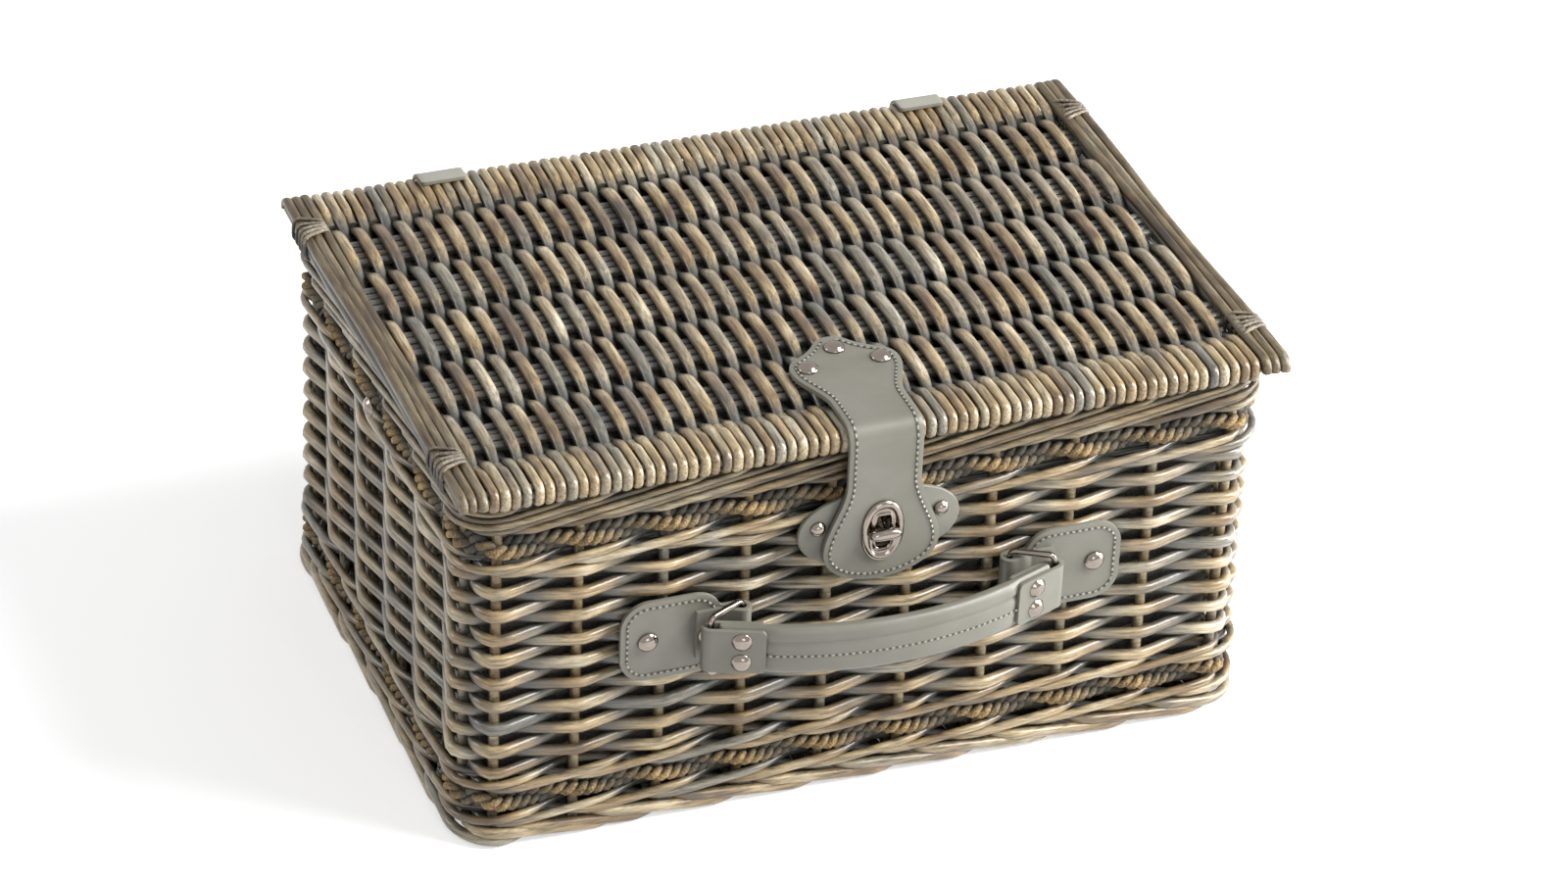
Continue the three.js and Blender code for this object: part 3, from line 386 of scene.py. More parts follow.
# A rod's points, its swelling at each of them, whether it closes, and the number of its material
Rod = namedtuple("Rod", "points swelling closed material", defaults=(1, False, 0))


def finish_piece(name, mesh, body, nodes=()):
    """A finished object: smooth faces, its body and the CAD nodes that it replaces. A piece without a body is
    left unattached."""
    mesh.shade_smooth()
    mesh.set_sharp_from_angle(angle=math.radians(65))
    piece = bpy.data.objects.new(name, mesh)
    bpy.context.scene.collection.objects.link(piece)
    if nodes:
        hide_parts(*nodes)
    if body:
        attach(piece, body)
    return piece


def settled_mesh(name, holder):
    """The mesh that an object's curve or modifiers give, welded and facing outwards. It takes the object
    away."""
    bpy.context.scene.collection.objects.link(holder)
    bpy.context.view_layer.update()
    view = bpy.context.evaluated_depsgraph_get()
    mesh = bpy.data.meshes.new_from_object(holder.evaluated_get(view))
    bpy.data.objects.remove(holder)
    mesh.name = name
    work = bmesh.new()
    work.from_mesh(mesh)
    bmesh.ops.remove_doubles(work, verts=work.verts, dist=WELD)
    bmesh.ops.recalc_face_normals(work, faces=work.faces)
    work.to_mesh(mesh)
    work.free()
    return mesh


def oval(half_width, half_height, squareness, steps=48):
    """A loop round the origin: an ellipse where squareness is 2 and nearly a rectangle where it is 6."""
    turn = (np.arange(steps) + 0.5) * full_turn / steps
    x = half_width * np.sign(np.cos(turn)) * np.abs(np.cos(turn)) ** (2 / squareness)
    z = half_height * np.sign(np.sin(turn)) * np.abs(np.sin(turn)) ** (2 / squareness)
    return x, z


def rod_mesh(name, rods, materials, depth, height, sides=10, twist="Z_UP"):
    """Rods in one mesh. Their section is a round pressed a little square, with its height upright where a rod
    runs level."""
    x, y = oval(depth / 2, height / 2, 2.5, sides)
    outline = bpy.data.curves.new(name, "CURVE")
    edge = outline.splines.new("POLY")
    edge.points.add(sides - 1)
    corners = np.column_stack([x * MM, y * MM, np.zeros(sides), np.ones(sides)])
    edge.points.foreach_set("co", corners.ravel())
    edge.use_cyclic_u = True
    section = bpy.data.objects.new(name, outline)
    curve = bpy.data.curves.new(name, "CURVE")
    curve.dimensions = "3D"
    curve.twist_mode = twist
    curve.bevel_mode = "OBJECT"
    curve.bevel_object = section
    curve.use_fill_caps = True
    for material in materials:
        curve.materials.append(material)
    for rod in rods:
        count = len(rod.points)
        spline = curve.splines.new("POLY")
        spline.points.add(count - 1)
        spline.points.foreach_set("co", np.column_stack([rod.points * MM, np.ones(count)]).ravel())
        spline.points.foreach_set("radius", np.broadcast_to(rod.swelling, count).astype(float))
        spline.use_cyclic_u = rod.closed
        spline.material_index = rod.material
    mesh = settled_mesh(name, bpy.data.objects.new(name, curve))
    bpy.data.objects.remove(section)
    return mesh


def loft_mesh(name, loops, material, ends="closed"):
    """A shape drawn out through loops of points. Its ends are closed, or its first one is open, or as a ring
    it comes back to its first loop."""
    work = bmesh.new()
    bmesh.ops.create_circle(work, cap_ends=True, segments=len(loops[0]), radius=1)
    work.faces.ensure_lookup_table()
    cap = work.faces[0]
    for vert, point in zip(cap.verts, loops[0]):
        vert.co = Vector(point) * MM
    for loop in loops[1:]:
        cap = bmesh.ops.extrude_discrete_faces(work, faces=[cap])["faces"][0]
        for vert, point in zip(cap.verts, loop):
            vert.co = Vector(point) * MM
    if ends == "ring":
        bmesh.ops.delete(work, geom=[cap], context="FACES_ONLY")
    elif ends == "closed":
        bmesh.ops.holes_fill(work, edges=[edge for edge in work.edges if edge.is_boundary])
    bmesh.ops.remove_doubles(work, verts=work.verts, dist=WELD)
    bmesh.ops.recalc_face_normals(work, faces=work.faces)
    mesh = bpy.data.meshes.new(name)
    mesh.materials.append(material)
    work.to_mesh(mesh)
    work.free()
    return mesh


def ease(share):
    """From 0 to 1, starting and stopping gently."""
    share = np.clip(share, 0, 1)
    return share * share * (3 - 2 * share)


def distances_along(route):
    """How far each point of a flat route is from its start."""
    steps = np.diff(route, axis=0)
    return np.concatenate([[0], np.cumsum(np.hypot(steps[:, 0], steps[:, 1]))])


def route_length(route):
    return distances_along(route)[-1]


def on_route(route, distance):
    """The point at a distance along a flat route, and the direction to the right of travel there."""
    lengths = distances_along(route)
    step = 0.4
    places = distance + np.array([-step, 0, step])
    near, here, far = np.column_stack([np.interp(places, lengths, route[:, i]) for i in (0, 1)])
    travel = (far - near) / np.linalg.norm(far - near)
    return here, np.array([travel[1], -travel[0]])


def arc(centre, radius, start, end, steps=24):
    """Points on a circle, by degrees."""
    turns = np.radians(np.linspace(start, end, steps + 1))
    return np.array(centre) + radius * np.column_stack([np.cos(turns), np.sin(turns)])


def strap_mesh(name, route, half_width, place, thickness, rows=90, columns=14, hole=None, face=strap_leather):
    """A flat strap: a grid bent along a route and drawn in to a half width at each distance, then given its
    thickness and soft edges. place turns a route point and a distance across into a point of the basket."""
    length = route_length(route)
    work = bmesh.new()
    bmesh.ops.create_grid(work, x_segments=columns, y_segments=rows, size=1)
    for vert in work.verts:
        distance = length * (0.5 + 0.5 * math.sin(vert.co.y * math.pi / 2))
        across = vert.co.x * half_width(distance)
        here, _ = on_route(route, distance)
        vert.co = Vector(place(here, across)) * MM
    if hole:
        cut = [patch for patch in work.faces if hole(patch.calc_center_median() / MM)]
        bmesh.ops.delete(work, geom=cut, context="FACES")
    mesh = bpy.data.meshes.new(name)
    work.to_mesh(mesh)
    work.free()
    holder = bpy.data.objects.new(name, mesh)
    for material in (face, cut_leather):
        mesh.materials.append(material)
    body = holder.modifiers.new("thickness", "SOLIDIFY")
    body.thickness = thickness * MM
    body.offset = 0
    body.use_even_offset = True
    body.material_offset_rim = 1
    edge = holder.modifiers.new("soft edge", "BEVEL")
    edge.width = 0.5 * MM
    edge.segments = 2
    edge.limit_method = "ANGLE"
    edge.angle_limit = math.radians(50)
    return settled_mesh(name, holder)


def strap_outline(half_width, start, end, steps=400):
    """The edge of a strap laid flat, as places across and along: up one side and down the other."""
    along = start + (end - start) * (0.5 - 0.5 * np.cos(np.linspace(0, math.pi, steps)))
    across = np.array([half_width(distance) for distance in along])
    right = np.column_stack([across, along])
    left = np.column_stack([-across, along])[::-1]
    return np.concatenate([right, left])


def stitch_places(line, inset):
    """The two ends of each stitch on a line that runs inside an outline, both laid flat."""
    travel = np.gradient(line, axis=0)
    travel /= np.maximum(np.linalg.norm(travel, axis=1, keepdims=True), 1e-9)
    inner = line + inset * np.column_stack([-travel[:, 1], travel[:, 0]])
    lengths = distances_along(inner)
    starts = np.arange(0.5 * STITCH_PITCH, lengths[-1] - STITCH_PITCH, STITCH_PITCH)
    ends = starts + STITCH_SHARE * STITCH_PITCH
    return [np.column_stack([np.interp(at, lengths, inner[:, i]) for i in (0, 1)]) for at in (starts, ends)]


def sew(name, line, inset, route, place, out, body):
    """Thread along a line that runs inside an outline, on a strap whose face is out from its route. Each
    stitch rises from one needle hole and goes down the next."""
    sunk = -0.3
    raised = 0.25
    rods = []

    def on_leather(spot, rise):
        here, side = on_route(route, spot[1])
        return place(here + (out + rise) * side, spot[0])

    for start, end in zip(*stitch_places(line, inset)):
        middle = (start + end) / 2
        points = np.array([on_leather(start, sunk), on_leather(middle, raised), on_leather(end, sunk)])
        rods.append(Rod(points))
        # a short dark rod past each stitch: the painted shadow of its needle hole
        before = end - (end - start) * 0.06
        beyond = end + (end - start) * 0.7
        hole = np.array([on_leather(before, 0), on_leather(beyond, 0)])
        rods.append(Rod(hole, NEEDLE_HOLE, material=1))
    mesh = rod_mesh(name, rods, [thread, painted_hole_shadow], THREAD, THREAD, 4, "MINIMUM")
    return finish_piece(name, mesh, body)


# Round the wall

# Stakes stand 42.6 mm apart along the front and back and 48 mm apart along the ends
FRONT_STAKE_PITCH = 42.6
END_STAKE_PITCH = 48

WALL_TURN_STEPS = 10
corner_bend = CORNER_RADIUS - WALL / 2
quarters = [np.linspace(-90 + 90 * k, 90 * k, WALL_TURN_STEPS) for k in range(4)]
wall_turn = np.radians(np.concatenate([[-90], *quarters, [270]]))
corner_x = np.concatenate([[0], np.repeat([1, 1, -1, -1], WALL_TURN_STEPS), [0]])
corner_y = np.concatenate([[-1], np.repeat([-1, 1, 1, -1], WALL_TURN_STEPS), [-1]])
wall_x = (HALF_WIDTH - CORNER_RADIUS) * corner_x + corner_bend * np.cos(wall_turn)
wall_y = (HALF_DEPTH - CORNER_RADIUS) * corner_y + corner_bend * np.sin(wall_turn)
wall_length = np.concatenate([[0], np.cumsum(np.hypot(np.diff(wall_x), np.diff(wall_y)))])
ROUND = wall_length[-1]
front_stakes = [FRONT_STAKE_PITCH * (k + 0.5) for k in range(5)]
end_stakes = [ROUND / 4 - END_STAKE_PITCH * (k + 0.5) for k in (2, 1, 0)]
quarter_stakes = np.array(front_stakes + end_stakes)
half_stakes = np.concatenate([quarter_stakes, ROUND / 2 - quarter_stakes[::-1]])
stake_places = np.concatenate([half_stakes, ROUND / 2 + half_stakes])


def wall_points(distance, out, z):
    """Points at a distance round the wall's middle line from the front's middle, and out from that line."""
    distance = distance % ROUND
    turn = np.interp(distance, wall_length, wall_turn)
    x = np.interp(distance, wall_length, wall_x) + out * np.cos(turn)
    y = np.interp(distance, wall_length, wall_y) + out * np.sin(turn)
    return np.column_stack([x, y, np.broadcast_to(z, np.shape(x))])


def once_round(step):
    """Distances once round the wall, about a step apart."""
    count = round(ROUND / step)
    return np.arange(count) * ROUND / count


def stake_count(distance):
    """How many stakes have been passed, whole at a stake and a half between two."""
    count = len(stake_places)
    places = np.concatenate([[stake_places[-1] - ROUND], stake_places, [stake_places[0] + ROUND]])
    return np.interp(distance, places, np.arange(-1, count + 1))


def wander(distance, size):
    """A slow seeded waver that meets itself once round the wall."""
    turns = full_turn * distance / ROUND
    slow, quick = chance.uniform(0, full_turn, 2)
    return size * (0.6 * np.sin(3 * turns + slow) + 0.4 * np.sin(8 * turns + quick))


def round_stakes(turn):
    """From 1 to -1 and back: straight between the stakes, with a short bend round each."""
    straightness = 0.985
    return np.arcsin(straightness * np.cos(turn)) / math.asin(straightness)


def weave_side():
    """One rod to a row, in front of every second stake and behind the others."""
    low, high = SIDE_LOW[2], SIDE_HIGH[2]
    pitch = (high - low) / WEAVE_ROWS
    rods = []
    for row in range(WEAVE_ROWS):
        distance = once_round(3.7)
        turn = math.pi * (stake_count(distance) + row + 1)
        out = STAKE_OUT + WEAVE_SWING * round_stakes(turn) + wander(distance, 0.3)
        z = low + (row + 0.5) * pitch + wander(distance, 0.6)
        swelling = 1 + wander(distance, 0.12)
        rods.append(Rod(wall_points(distance, out, z), swelling, closed=True))
    mesh = rod_mesh("side_weave_rods", rods, [wall_willow], WEAVE_ROD_DEEP, WEAVE_ROD_HIGH)
    finish_piece("side_weave_rods", mesh, "basket", ["side_weave"])


def set_stakes():
    """Upright rods from inside the foot into the rim."""
    bottom = 6
    top = node_box("rim_border")[0][2] + 4
    steps = 24
    rods = []
    for stake in stake_places:
        z = np.linspace(bottom, top, steps)
        distance = np.full(steps, stake + chance.uniform(-0.8, 0.8))
        rods.append(Rod(wall_points(distance, STAKE_OUT, z)))
    mesh = rod_mesh("stakes", rods, [stake_willow], STAKE_ROD, STAKE_ROD, 8, "MINIMUM")
    finish_piece("stakes", mesh, "basket")


def three_round(strand):
    """Distances once round the wall, and how far one of three strands has turned round the others at each."""
    turns_round = 11
    distance = once_round(4.6)
    return distance, full_turn * (turns_round * distance / ROUND + strand / 3)


def weave_wale(node):
    """Three rods that pass round each other and the stakes, rising to the right in front."""
    low, high = node_box(node)
    middle = (low[2] + high[2]) / 2
    flatness = 1.8
    in_front = 0.35
    rise = 2.2
    rods = []
    for strand in range(3):
        distance, turn = three_round(strand)
        share = np.tanh(flatness * (np.cos(turn) + in_front)) / math.tanh(flatness)
        z = middle + rise * np.sin(turn) + wander(distance, 0.3)
        swelling = 1 + wander(distance, 0.1)
        points = wall_points(distance, STAKE_OUT + WALE_SWING * share, z)
        rods.append(Rod(points, swelling, closed=True))
    mesh = rod_mesh(node + "_rods", rods, [wale_willow], WALE_ROD, WALE_ROD)
    finish_piece(node + "_rods", mesh, "basket", [node])


def weave_rope(node):
    """Two ropes of two plies that pass round each other between the stakes, falling to the right in front."""
    low, high = node_box(node)
    middle = (low[2] + high[2]) / 2
    centre_out = STAKE_OUT + 0.4
    front_swing = 4.6
    back_swing = 3
    fall = 2.8
    twists = round(ROUND / ROPE_LAY)
    plies = []
    for rope in range(2):
        distance = once_round(1.6)
        turn = math.pi * (stake_count(distance) + rope)
        swing = round_stakes(turn)
        rope_out = centre_out + np.where(swing > 0, front_swing, back_swing) * swing
        rope_z = middle - fall * np.sin(turn) + wander(distance, 0.3)
        for ply in range(2):
            twist = full_turn * (twists * distance / ROUND + ply / 2)
            out = rope_out + PLY_OFFSET * np.cos(twist)
            z = rope_z + PLY_OFFSET * np.sin(twist)
            plies.append(Rod(wall_points(distance, out, z), closed=True))
    mesh = rod_mesh(node + "_cords", plies, [seagrass], PLY, PLY, 8)
    finish_piece(node + "_cords", mesh, "basket", [node])


def lay_rim():
    """Two rods to a stake bend down along the rim, climb past the next two stakes and tuck in over the top.
    Rods behind them close the wall, and three more are twisted along its top."""
    low, high = node_box("rim_border")
    second_rod = 22
    length = 122
    climb = 94
    climb_height = 14.4
    tuck = 26
    tuck_depth = 9
    rods = []
    for number, start in enumerate(np.sort(np.concatenate([stake_places, stake_places + second_rod]))):
        along = np.linspace(0, length, 34)
        forward = 0.7 if number % 2 else -0.7
        inward = ease((along - climb) / tuck)
        out = STAKE_OUT + (6 + forward) * ease(along / 20) - tuck_depth * inward + chance.uniform(-0.3, 0.3)
        z = low[2] + 1.6 + climb_height * along / climb - 1.2 * inward + chance.uniform(-0.4, 0.4)
        swelling = 1.12 - 0.3 * along / length
        rods.append(Rod(wall_points(start + along, out, np.minimum(z, high[2] - 2)), swelling))
    for z in np.arange(162.8, 196, 3.6):
        distance = once_round(6)
        out = INNER_ROD_OUT + wander(distance, 0.2)
        rods.append(Rod(wall_points(distance, out, z), 1.2, closed=True))
    top_centre = high[2] - 4.2
    for strand in range(3):
        distance, turn = three_round(strand)
        out = STAKE_OUT + 0.4 + 1.6 * np.cos(turn)
        points = wall_points(distance, out, top_centre + 1.7 * np.sin(turn))
        rods.append(Rod(points, 1.45, closed=True))
    mesh = rod_mesh("rim_rods", rods, [rim_willow], RIM_ROD, RIM_ROD)
    finish_piece("rim_rods", mesh, "basket", ["rim_border"])


def lay_foot():
    """Rods that come out from under the waling and slant down to the floor, each behind the one before. Two
    rods run round behind them."""
    length = 94
    start_out = -5
    lowest = FOOT_ROD / 2 * 1.06
    rods = []
    for stake in stake_places:
        along = np.linspace(0, length, 28)
        comes_out = 9.8 * ease(along / 26)
        goes_in = 6 * ease((along - 76) / 18)
        out = start_out + comes_out - goes_in + chance.uniform(-0.3, 0.3)
        z = 11.2 - 7.6 * along / 80 + chance.uniform(-0.3, 0.3)
        swelling = 1.05 - 0.12 * along / length
        rods.append(Rod(wall_points(stake - 6 + along, out, np.maximum(z, lowest)), swelling))
    for z in (3.6, 8):
        distance = once_round(6)
        out = start_out + wander(distance, 0.4)
        rods.append(Rod(wall_points(distance, out, z), 0.9, closed=True))
    mesh = rod_mesh("foot_rods", rods, [wale_willow], FOOT_ROD, FOOT_ROD)
    finish_piece("foot_rods", mesh, "basket", ["foot_border"])


def hang_lining():
    """Cotton stretched over the inside of the walls and the base, with a hem turned in at the top. Its dark
    grey also stands for the shade inside the basket, seen through the gaps of the weave.
    """
    top = 171
    hem = 8
    inset = 17.2
    thickness = 0.5
    distance = once_round(8)
    levels = [(-1.5, top - hem), (-1.5, top - 1), (-0.8, top - 0.2), (0, top - 1)]
    levels += [(0, z) for z in (150, 125, 100, 75, 50, 25)]
    levels += [(-1, 16), (-3, 12.5), (-6, 11.2)]
    loops = []
    for inward, z in levels:
        free_share = math.sin(math.pi * np.clip((z - 12) / 150, 0, 1))
        slack = 0.5 * np.sin(full_turn * stake_count(distance)) * free_share
        loops.append(wall_points(distance, WALL / 2 - inset + inward - 0.5 + slack, z))
    holder = bpy.data.objects.new("lining", loft_mesh("lining", loops, lining_cotton, "open"))
    cloth = holder.modifiers.new("cloth", "SOLIDIFY")
    cloth.thickness = thickness * MM
    cloth.offset = 0
    mesh = settled_mesh("lining", holder)
    lining = finish_piece("lining", mesh, "basket")


# Woven panels: weavers along Y over and under sticks along X


def weave_base():
    """Rods from front to back over and under sticks that lie along the base."""
    low, high = node_box("base_panel")
    middle = (low[2] + high[2]) / 2
    half_x, half_y = high[0] - 3, high[1] - 2
    stick_inset = 20
    swing = 2.2
    rods = []
    sticks = np.linspace(-half_y + stick_inset, half_y - stick_inset, BASE_STICKS)
    gap = sticks[1] - sticks[0]
    for y in sticks:
        x = np.linspace(-half_x, half_x, 20)
        points = np.column_stack([x, np.full(len(x), y), np.full(len(x), middle)])
        rods.append(Rod(points, 0.9))
    for number in range(BASE_RODS):
        y = np.linspace(-half_y, half_y, 52)
        x = -half_x + 2 * half_x * number / (BASE_RODS - 1) + chance.uniform(-0.3, 0.3)
        z = middle + swing * round_stakes(math.pi * ((y - sticks[0]) / gap + number))
        rods.append(Rod(np.column_stack([np.full(len(y), x), y, z])))
    mesh = rod_mesh("base_weave", rods, [base_willow], BASE_ROD, BASE_ROD_THICK, 8)
    finish_piece("base_weave", mesh, "basket", ["base_panel"])


# Where the lid's edge sticks lie
LID_FRONT_STICK = LID_LOW[1] + LID_EDGE
LID_BACK_STICK = LID_HIGH[1] - LID_EDGE


def lid_weaver(parity):
    """A weaver's line in Y and height. At each end it turns round the edge stick and tucks back in."""
    lift = LID_EDGE - LID_ROD_THICK / 2
    steepness = 1.7
    roundness = 0.75
    tail_length = 24
    y = np.linspace(LID_FRONT_STICK + 2, LID_BACK_STICK - 2, 78)
    sticks_out = (y - LID_CENTRE) / LID_STICK_PITCH
    height = parity * lift * np.tanh(steepness * np.cos(math.pi * sticks_out)) / math.tanh(steepness)
    height = np.where(np.abs(sticks_out) > 3, -parity * lift, height)
    arrives = -parity
    turn = np.radians(np.linspace(90, -90, 12)[1:-1] * arrives)
    ends = []
    for stick, sign in ((LID_FRONT_STICK, -1), (LID_BACK_STICK, 1)):
        round_out = sign * lift * np.cos(turn) ** roundness
        round_up = lift * np.sign(np.sin(turn)) * np.abs(np.sin(turn)) ** roundness
        inward = np.linspace(0, tail_length, 8)
        tuck = -arrives * lift * (1 - 0.75 * ease((inward - tail_length / 2) / (tail_length / 2)))
        bend = np.column_stack([stick + round_out, round_up])
        tail = np.column_stack([stick - sign * inward, tuck])
        ends.append(np.concatenate([bend, tail]))
    return np.concatenate([ends[0][::-1], np.column_stack([y, height]), ends[1]])


def weave_lid():
    """Rods from front to back, thicker where they cross a group of four sticks and thinner round the edge."""
    edge_from = 114
    rods = []
    pitch = 2 * LID_HIGH[0] / LID_RODS
    for number in range(LID_RODS):
        line = lid_weaver(-1 if number % 2 else 1)
        y, height = line.T
        x = (number - (LID_RODS - 1) / 2) * pitch + chance.uniform(-0.2, 0.2)
        lean = chance.uniform(-0.35, 0.35) * np.sin(y / 60 + chance.uniform(0, full_turn))
        own_size = chance.uniform(0.92, 1.06)
        waver = 1 + 0.06 * np.sin(y / 45 + chance.uniform(0, full_turn))
        crown = ease((np.abs(height) - 2) / 2)
        edge = ease((np.abs(y - LID_CENTRE) - edge_from) / 10)
        swelling = own_size * waver * (1 + 0.14 * crown * (1 - edge) - 0.1 * edge)
        rods.append(Rod(np.column_stack([x + lean, y, LID_MIDDLE + height]), swelling))
    mesh = rod_mesh("lid_weave", rods, [lid_willow], LID_ROD, LID_ROD_THICK, 10, "MINIMUM")
    finish_piece("lid_weave", mesh, "lid", ["lid_panel"])
    lay_lid_sticks()


def lay_lid_sticks():
    """Sticks that the lid is woven round, in groups of four, and a bundle of five inside each edge."""
    half_length = LID_HIGH[0] + 1.5
    steps = 40
    x = np.linspace(-half_length, half_length, steps)
    level = np.full(steps, LID_MIDDLE)
    stick_gap = LID_STICK * 1.12
    edge_gap = 2.4
    sticks = []
    for group in range(LID_STICKS):
        group_y = LID_CENTRE + (group - (LID_STICKS - 1) // 2) * LID_STICK_PITCH
        for place in (-1.5, -0.5, 0.5, 1.5):
            y = np.full(steps, group_y + place * stick_gap)
            sticks.append(Rod(np.column_stack([x, y, level + chance.uniform(-0.5, 0.5)])))
    # the edge bundles take the second material, dark all over as painted shade
    for y in (LID_FRONT_STICK, LID_BACK_STICK):
        for out, rise in ((0, -edge_gap), (0, 0), (0, edge_gap), (-edge_gap, 0), (edge_gap, 0)):
            sticks.append(Rod(np.column_stack([x, np.full(steps, y + out), level + rise]), 0.85, material=1))
    materials = [stick_willow, hidden_willow]
    mesh = rod_mesh("lid_sticks", sticks, materials, LID_STICK, LID_STICK, 8)
    finish_piece("lid_sticks", mesh, "lid")


def lay_lid_ends():
    """Rods side by side along each end of the lid, in two layers, bent down over its front and back edges."""
    upper_layer = LID_EDGE - 2.3
    lower_layer = 0.2
    steps = 60
    drop = np.radians(np.linspace(10, 100, 7))
    for side in ("left", "right"):
        rods = []
        nodes = [f"lid_end_rod_{side}_{place}" for place in ("inner", "middle", "outer")]
        for node in nodes:
            low, high = node_box(node)
            middle = (low[0] + high[0]) / 2 * 0.997
            for lift in (upper_layer, lower_layer):
                bend_out = (1.2 + max(lift, 1.5)) * np.sin(drop)
                bend_up = lift * np.cos(drop) + 0.01
                level_y = np.linspace(LID_FRONT_STICK + 3, LID_BACK_STICK - 3, steps)
                y = np.concatenate([(LID_FRONT_STICK - bend_out)[::-1], level_y, LID_BACK_STICK + bend_out])
                height = np.concatenate([bend_up[::-1], np.full(steps, lift), bend_up])
                phase = chance.uniform(0, full_turn, 2)
                x = middle + 0.6 * np.sin(y / 34 + phase[0])
                z = LID_MIDDLE + height + 0.4 * np.sin(y / 27 + phase[1])
                swelling = 1 + 0.1 * np.sin(y / 60 + phase[1])
                rods.append(Rod(np.column_stack([x, y, z]), swelling))
        name = f"lid_end_rods_{side}"
        mesh = rod_mesh(name, rods, [end_willow], LID_END_ROD, LID_END_ROD_THICK, 10, "MINIMUM")
        finish_piece(name, mesh, "lid", nodes)


def tie_bindings():
    """Split cane wound five times round the end rods, drawn together at its right end."""
    strands = 5
    strand_gap = 3.7
    drawn_in = 0.35
    for end in ("front", "back"):
        for side in ("left", "right"):
            node = f"lid_binding_{end}_{side}"
            low, high = node_box(node)
            middle = (low + high) / 2
            half_x = (high[0] - low[0]) / 2 - 1
            half_z = (high[2] - low[2]) / 2 - 1
            rods = []
            for strand in range(strands):
                x, z = oval(half_x, half_z, 4.5, 36)
                turn = np.arctan2(z, x)
                offset = (strand - (strands - 1) / 2) * strand_gap + chance.uniform(-0.3, 0.3)
                fan = 1 - drawn_in * x / half_x
                y = middle[1] + offset * fan + 0.7 * np.sin(turn + strand)
                points = np.column_stack([middle[0] + x, y, middle[2] + z])
                rods.append(Rod(points, chance.uniform(0.9, 1.1), closed=True))
            name = f"binding_{end}_{side}"
            mesh = rod_mesh(name, rods, [cane], CANE_THICK, CANE_WIDE, 8, "MINIMUM")
            finish_piece(name, mesh, "lid", [node])


# Latch

STRAP_BACK = node_box("latch_strap_lid")[1][1]
FLAP_BOTTOM = node_box("latch_strap_flap")[0][2]


def across_x(x):
    """Straps that cross the basket's middle from front to back: the route is in Y and Z."""
    return lambda here, across: (x + across, here[0], here[1])


def latch_route():
    """The strap's middle line in Y and height: flat on the lid, round its front edge and straight down."""
    bend = LID_EDGE + 0.3 + STRAP_LEATHER / 2
    top = LID_MIDDLE + bend
    centre = (LID_FRONT_STICK, LID_MIDDLE)
    back = STRAP_BACK - 0.1
    bottom = FLAP_BOTTOM + 0.1
    flat = [(back, top), (back - 30, top)]
    return np.concatenate([flat, arc(centre, bend, 90, 180), [(centre[0] - bend, bottom)]])


LATCH_ROUTE = latch_route()
LATCH_LENGTH = route_length(LATCH_ROUTE)

# The strap's outline, by distances from its back end: its lobes round the rivets, its neck and its wide end
LOBE = 11
SIDE_LOBE_OUT = 17
NECK_HALF = 19
FLAP_SWELL = 11
STRAP_RIVET_Y = sum(node_box("strap_rivet_left"))[1] / 2
SIDE_LOBE_FROM = STRAP_BACK - STRAP_RIVET_Y - LOBE
NOTCH_FROM = 4.7
NOTCH_TO = 14.7
FLAP_NECK = LATCH_LENGTH - (183 - FLAP_BOTTOM)
FLAP_WIDEST = LATCH_LENGTH - (146 - FLAP_BOTTOM)


def round_end(distance, radius):
    """Half width of a round end at a distance in from its tip."""
    share = np.clip(1 - distance / radius, 0, 1)
    return radius * math.sqrt(1 - share * share)


def latch_half_width(distance):
    """Three lobes on the lid, a neck over the edge, and a wide round end."""
    notch_share = (distance - NOTCH_FROM) / (NOTCH_TO - NOTCH_FROM)
    if distance < NOTCH_FROM:
        lobes = round_end(max(distance, 0.1), LOBE)
    elif distance < NOTCH_TO:
        lobes = 9 + 11.8 * notch_share - 1.3 * math.sin(math.pi * notch_share)
    else:
        lobes = SIDE_LOBE_OUT + round_end(distance - SIDE_LOBE_FROM, LOBE)
    if distance < FLAP_NECK:
        width = lobes + (NECK_HALF - lobes) * ease((distance - SIDE_LOBE_FROM - LOBE - 2) / 30)
    else:
        width = NECK_HALF + FLAP_SWELL * ease((distance - FLAP_NECK) / (FLAP_WIDEST - FLAP_NECK))
    below = np.clip(1 - (LATCH_LENGTH - distance) / (LATCH_LENGTH - FLAP_WIDEST), 0, 0.998)
    return width * (1 - below**2.2) ** 0.5


def in_slot(point):
    """Whether a point of the strap lies where the turn knob passes through it."""
    half_width = 5
    half_height = 10
    on_flap = point.y < LID_FRONT_STICK
    return on_flap and abs(point.x) < half_width and abs(point.z - LATCH_Z) < half_height


def make_latch_strap():
    place = across_x(0)
    mesh = strap_mesh("latch_strap", LATCH_ROUTE, latch_half_width, place, STRAP_LEATHER, 110, 16, in_slot)
    nodes = ["latch_strap_lid", "latch_strap_flap"]
    strap = finish_piece("latch_strap", mesh, None, nodes)
    line = strap_outline(latch_half_width, 0.2, LATCH_LENGTH - 0.2)
    sewing = sew("latch_stitches", line, STITCH_INSET, LATCH_ROUTE, place, STRAP_LEATHER / 2, None)
    for piece in (strap, sewing):
        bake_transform(piece)


def front_loop(half_width, half_height, squareness, y, z):
    """An oval that faces the front, at the latch's middle in X."""
    x, rise = oval(half_width, half_height, squareness)
    return np.column_stack([x, np.full(len(x), y), z + rise])


def front_half_sizes(node):
    """Half a node's width and height, and how far back and forward it reaches."""
    low, high = node_box(node)
    return high[0], (high[2] - low[2]) / 2, high[1], low[1]


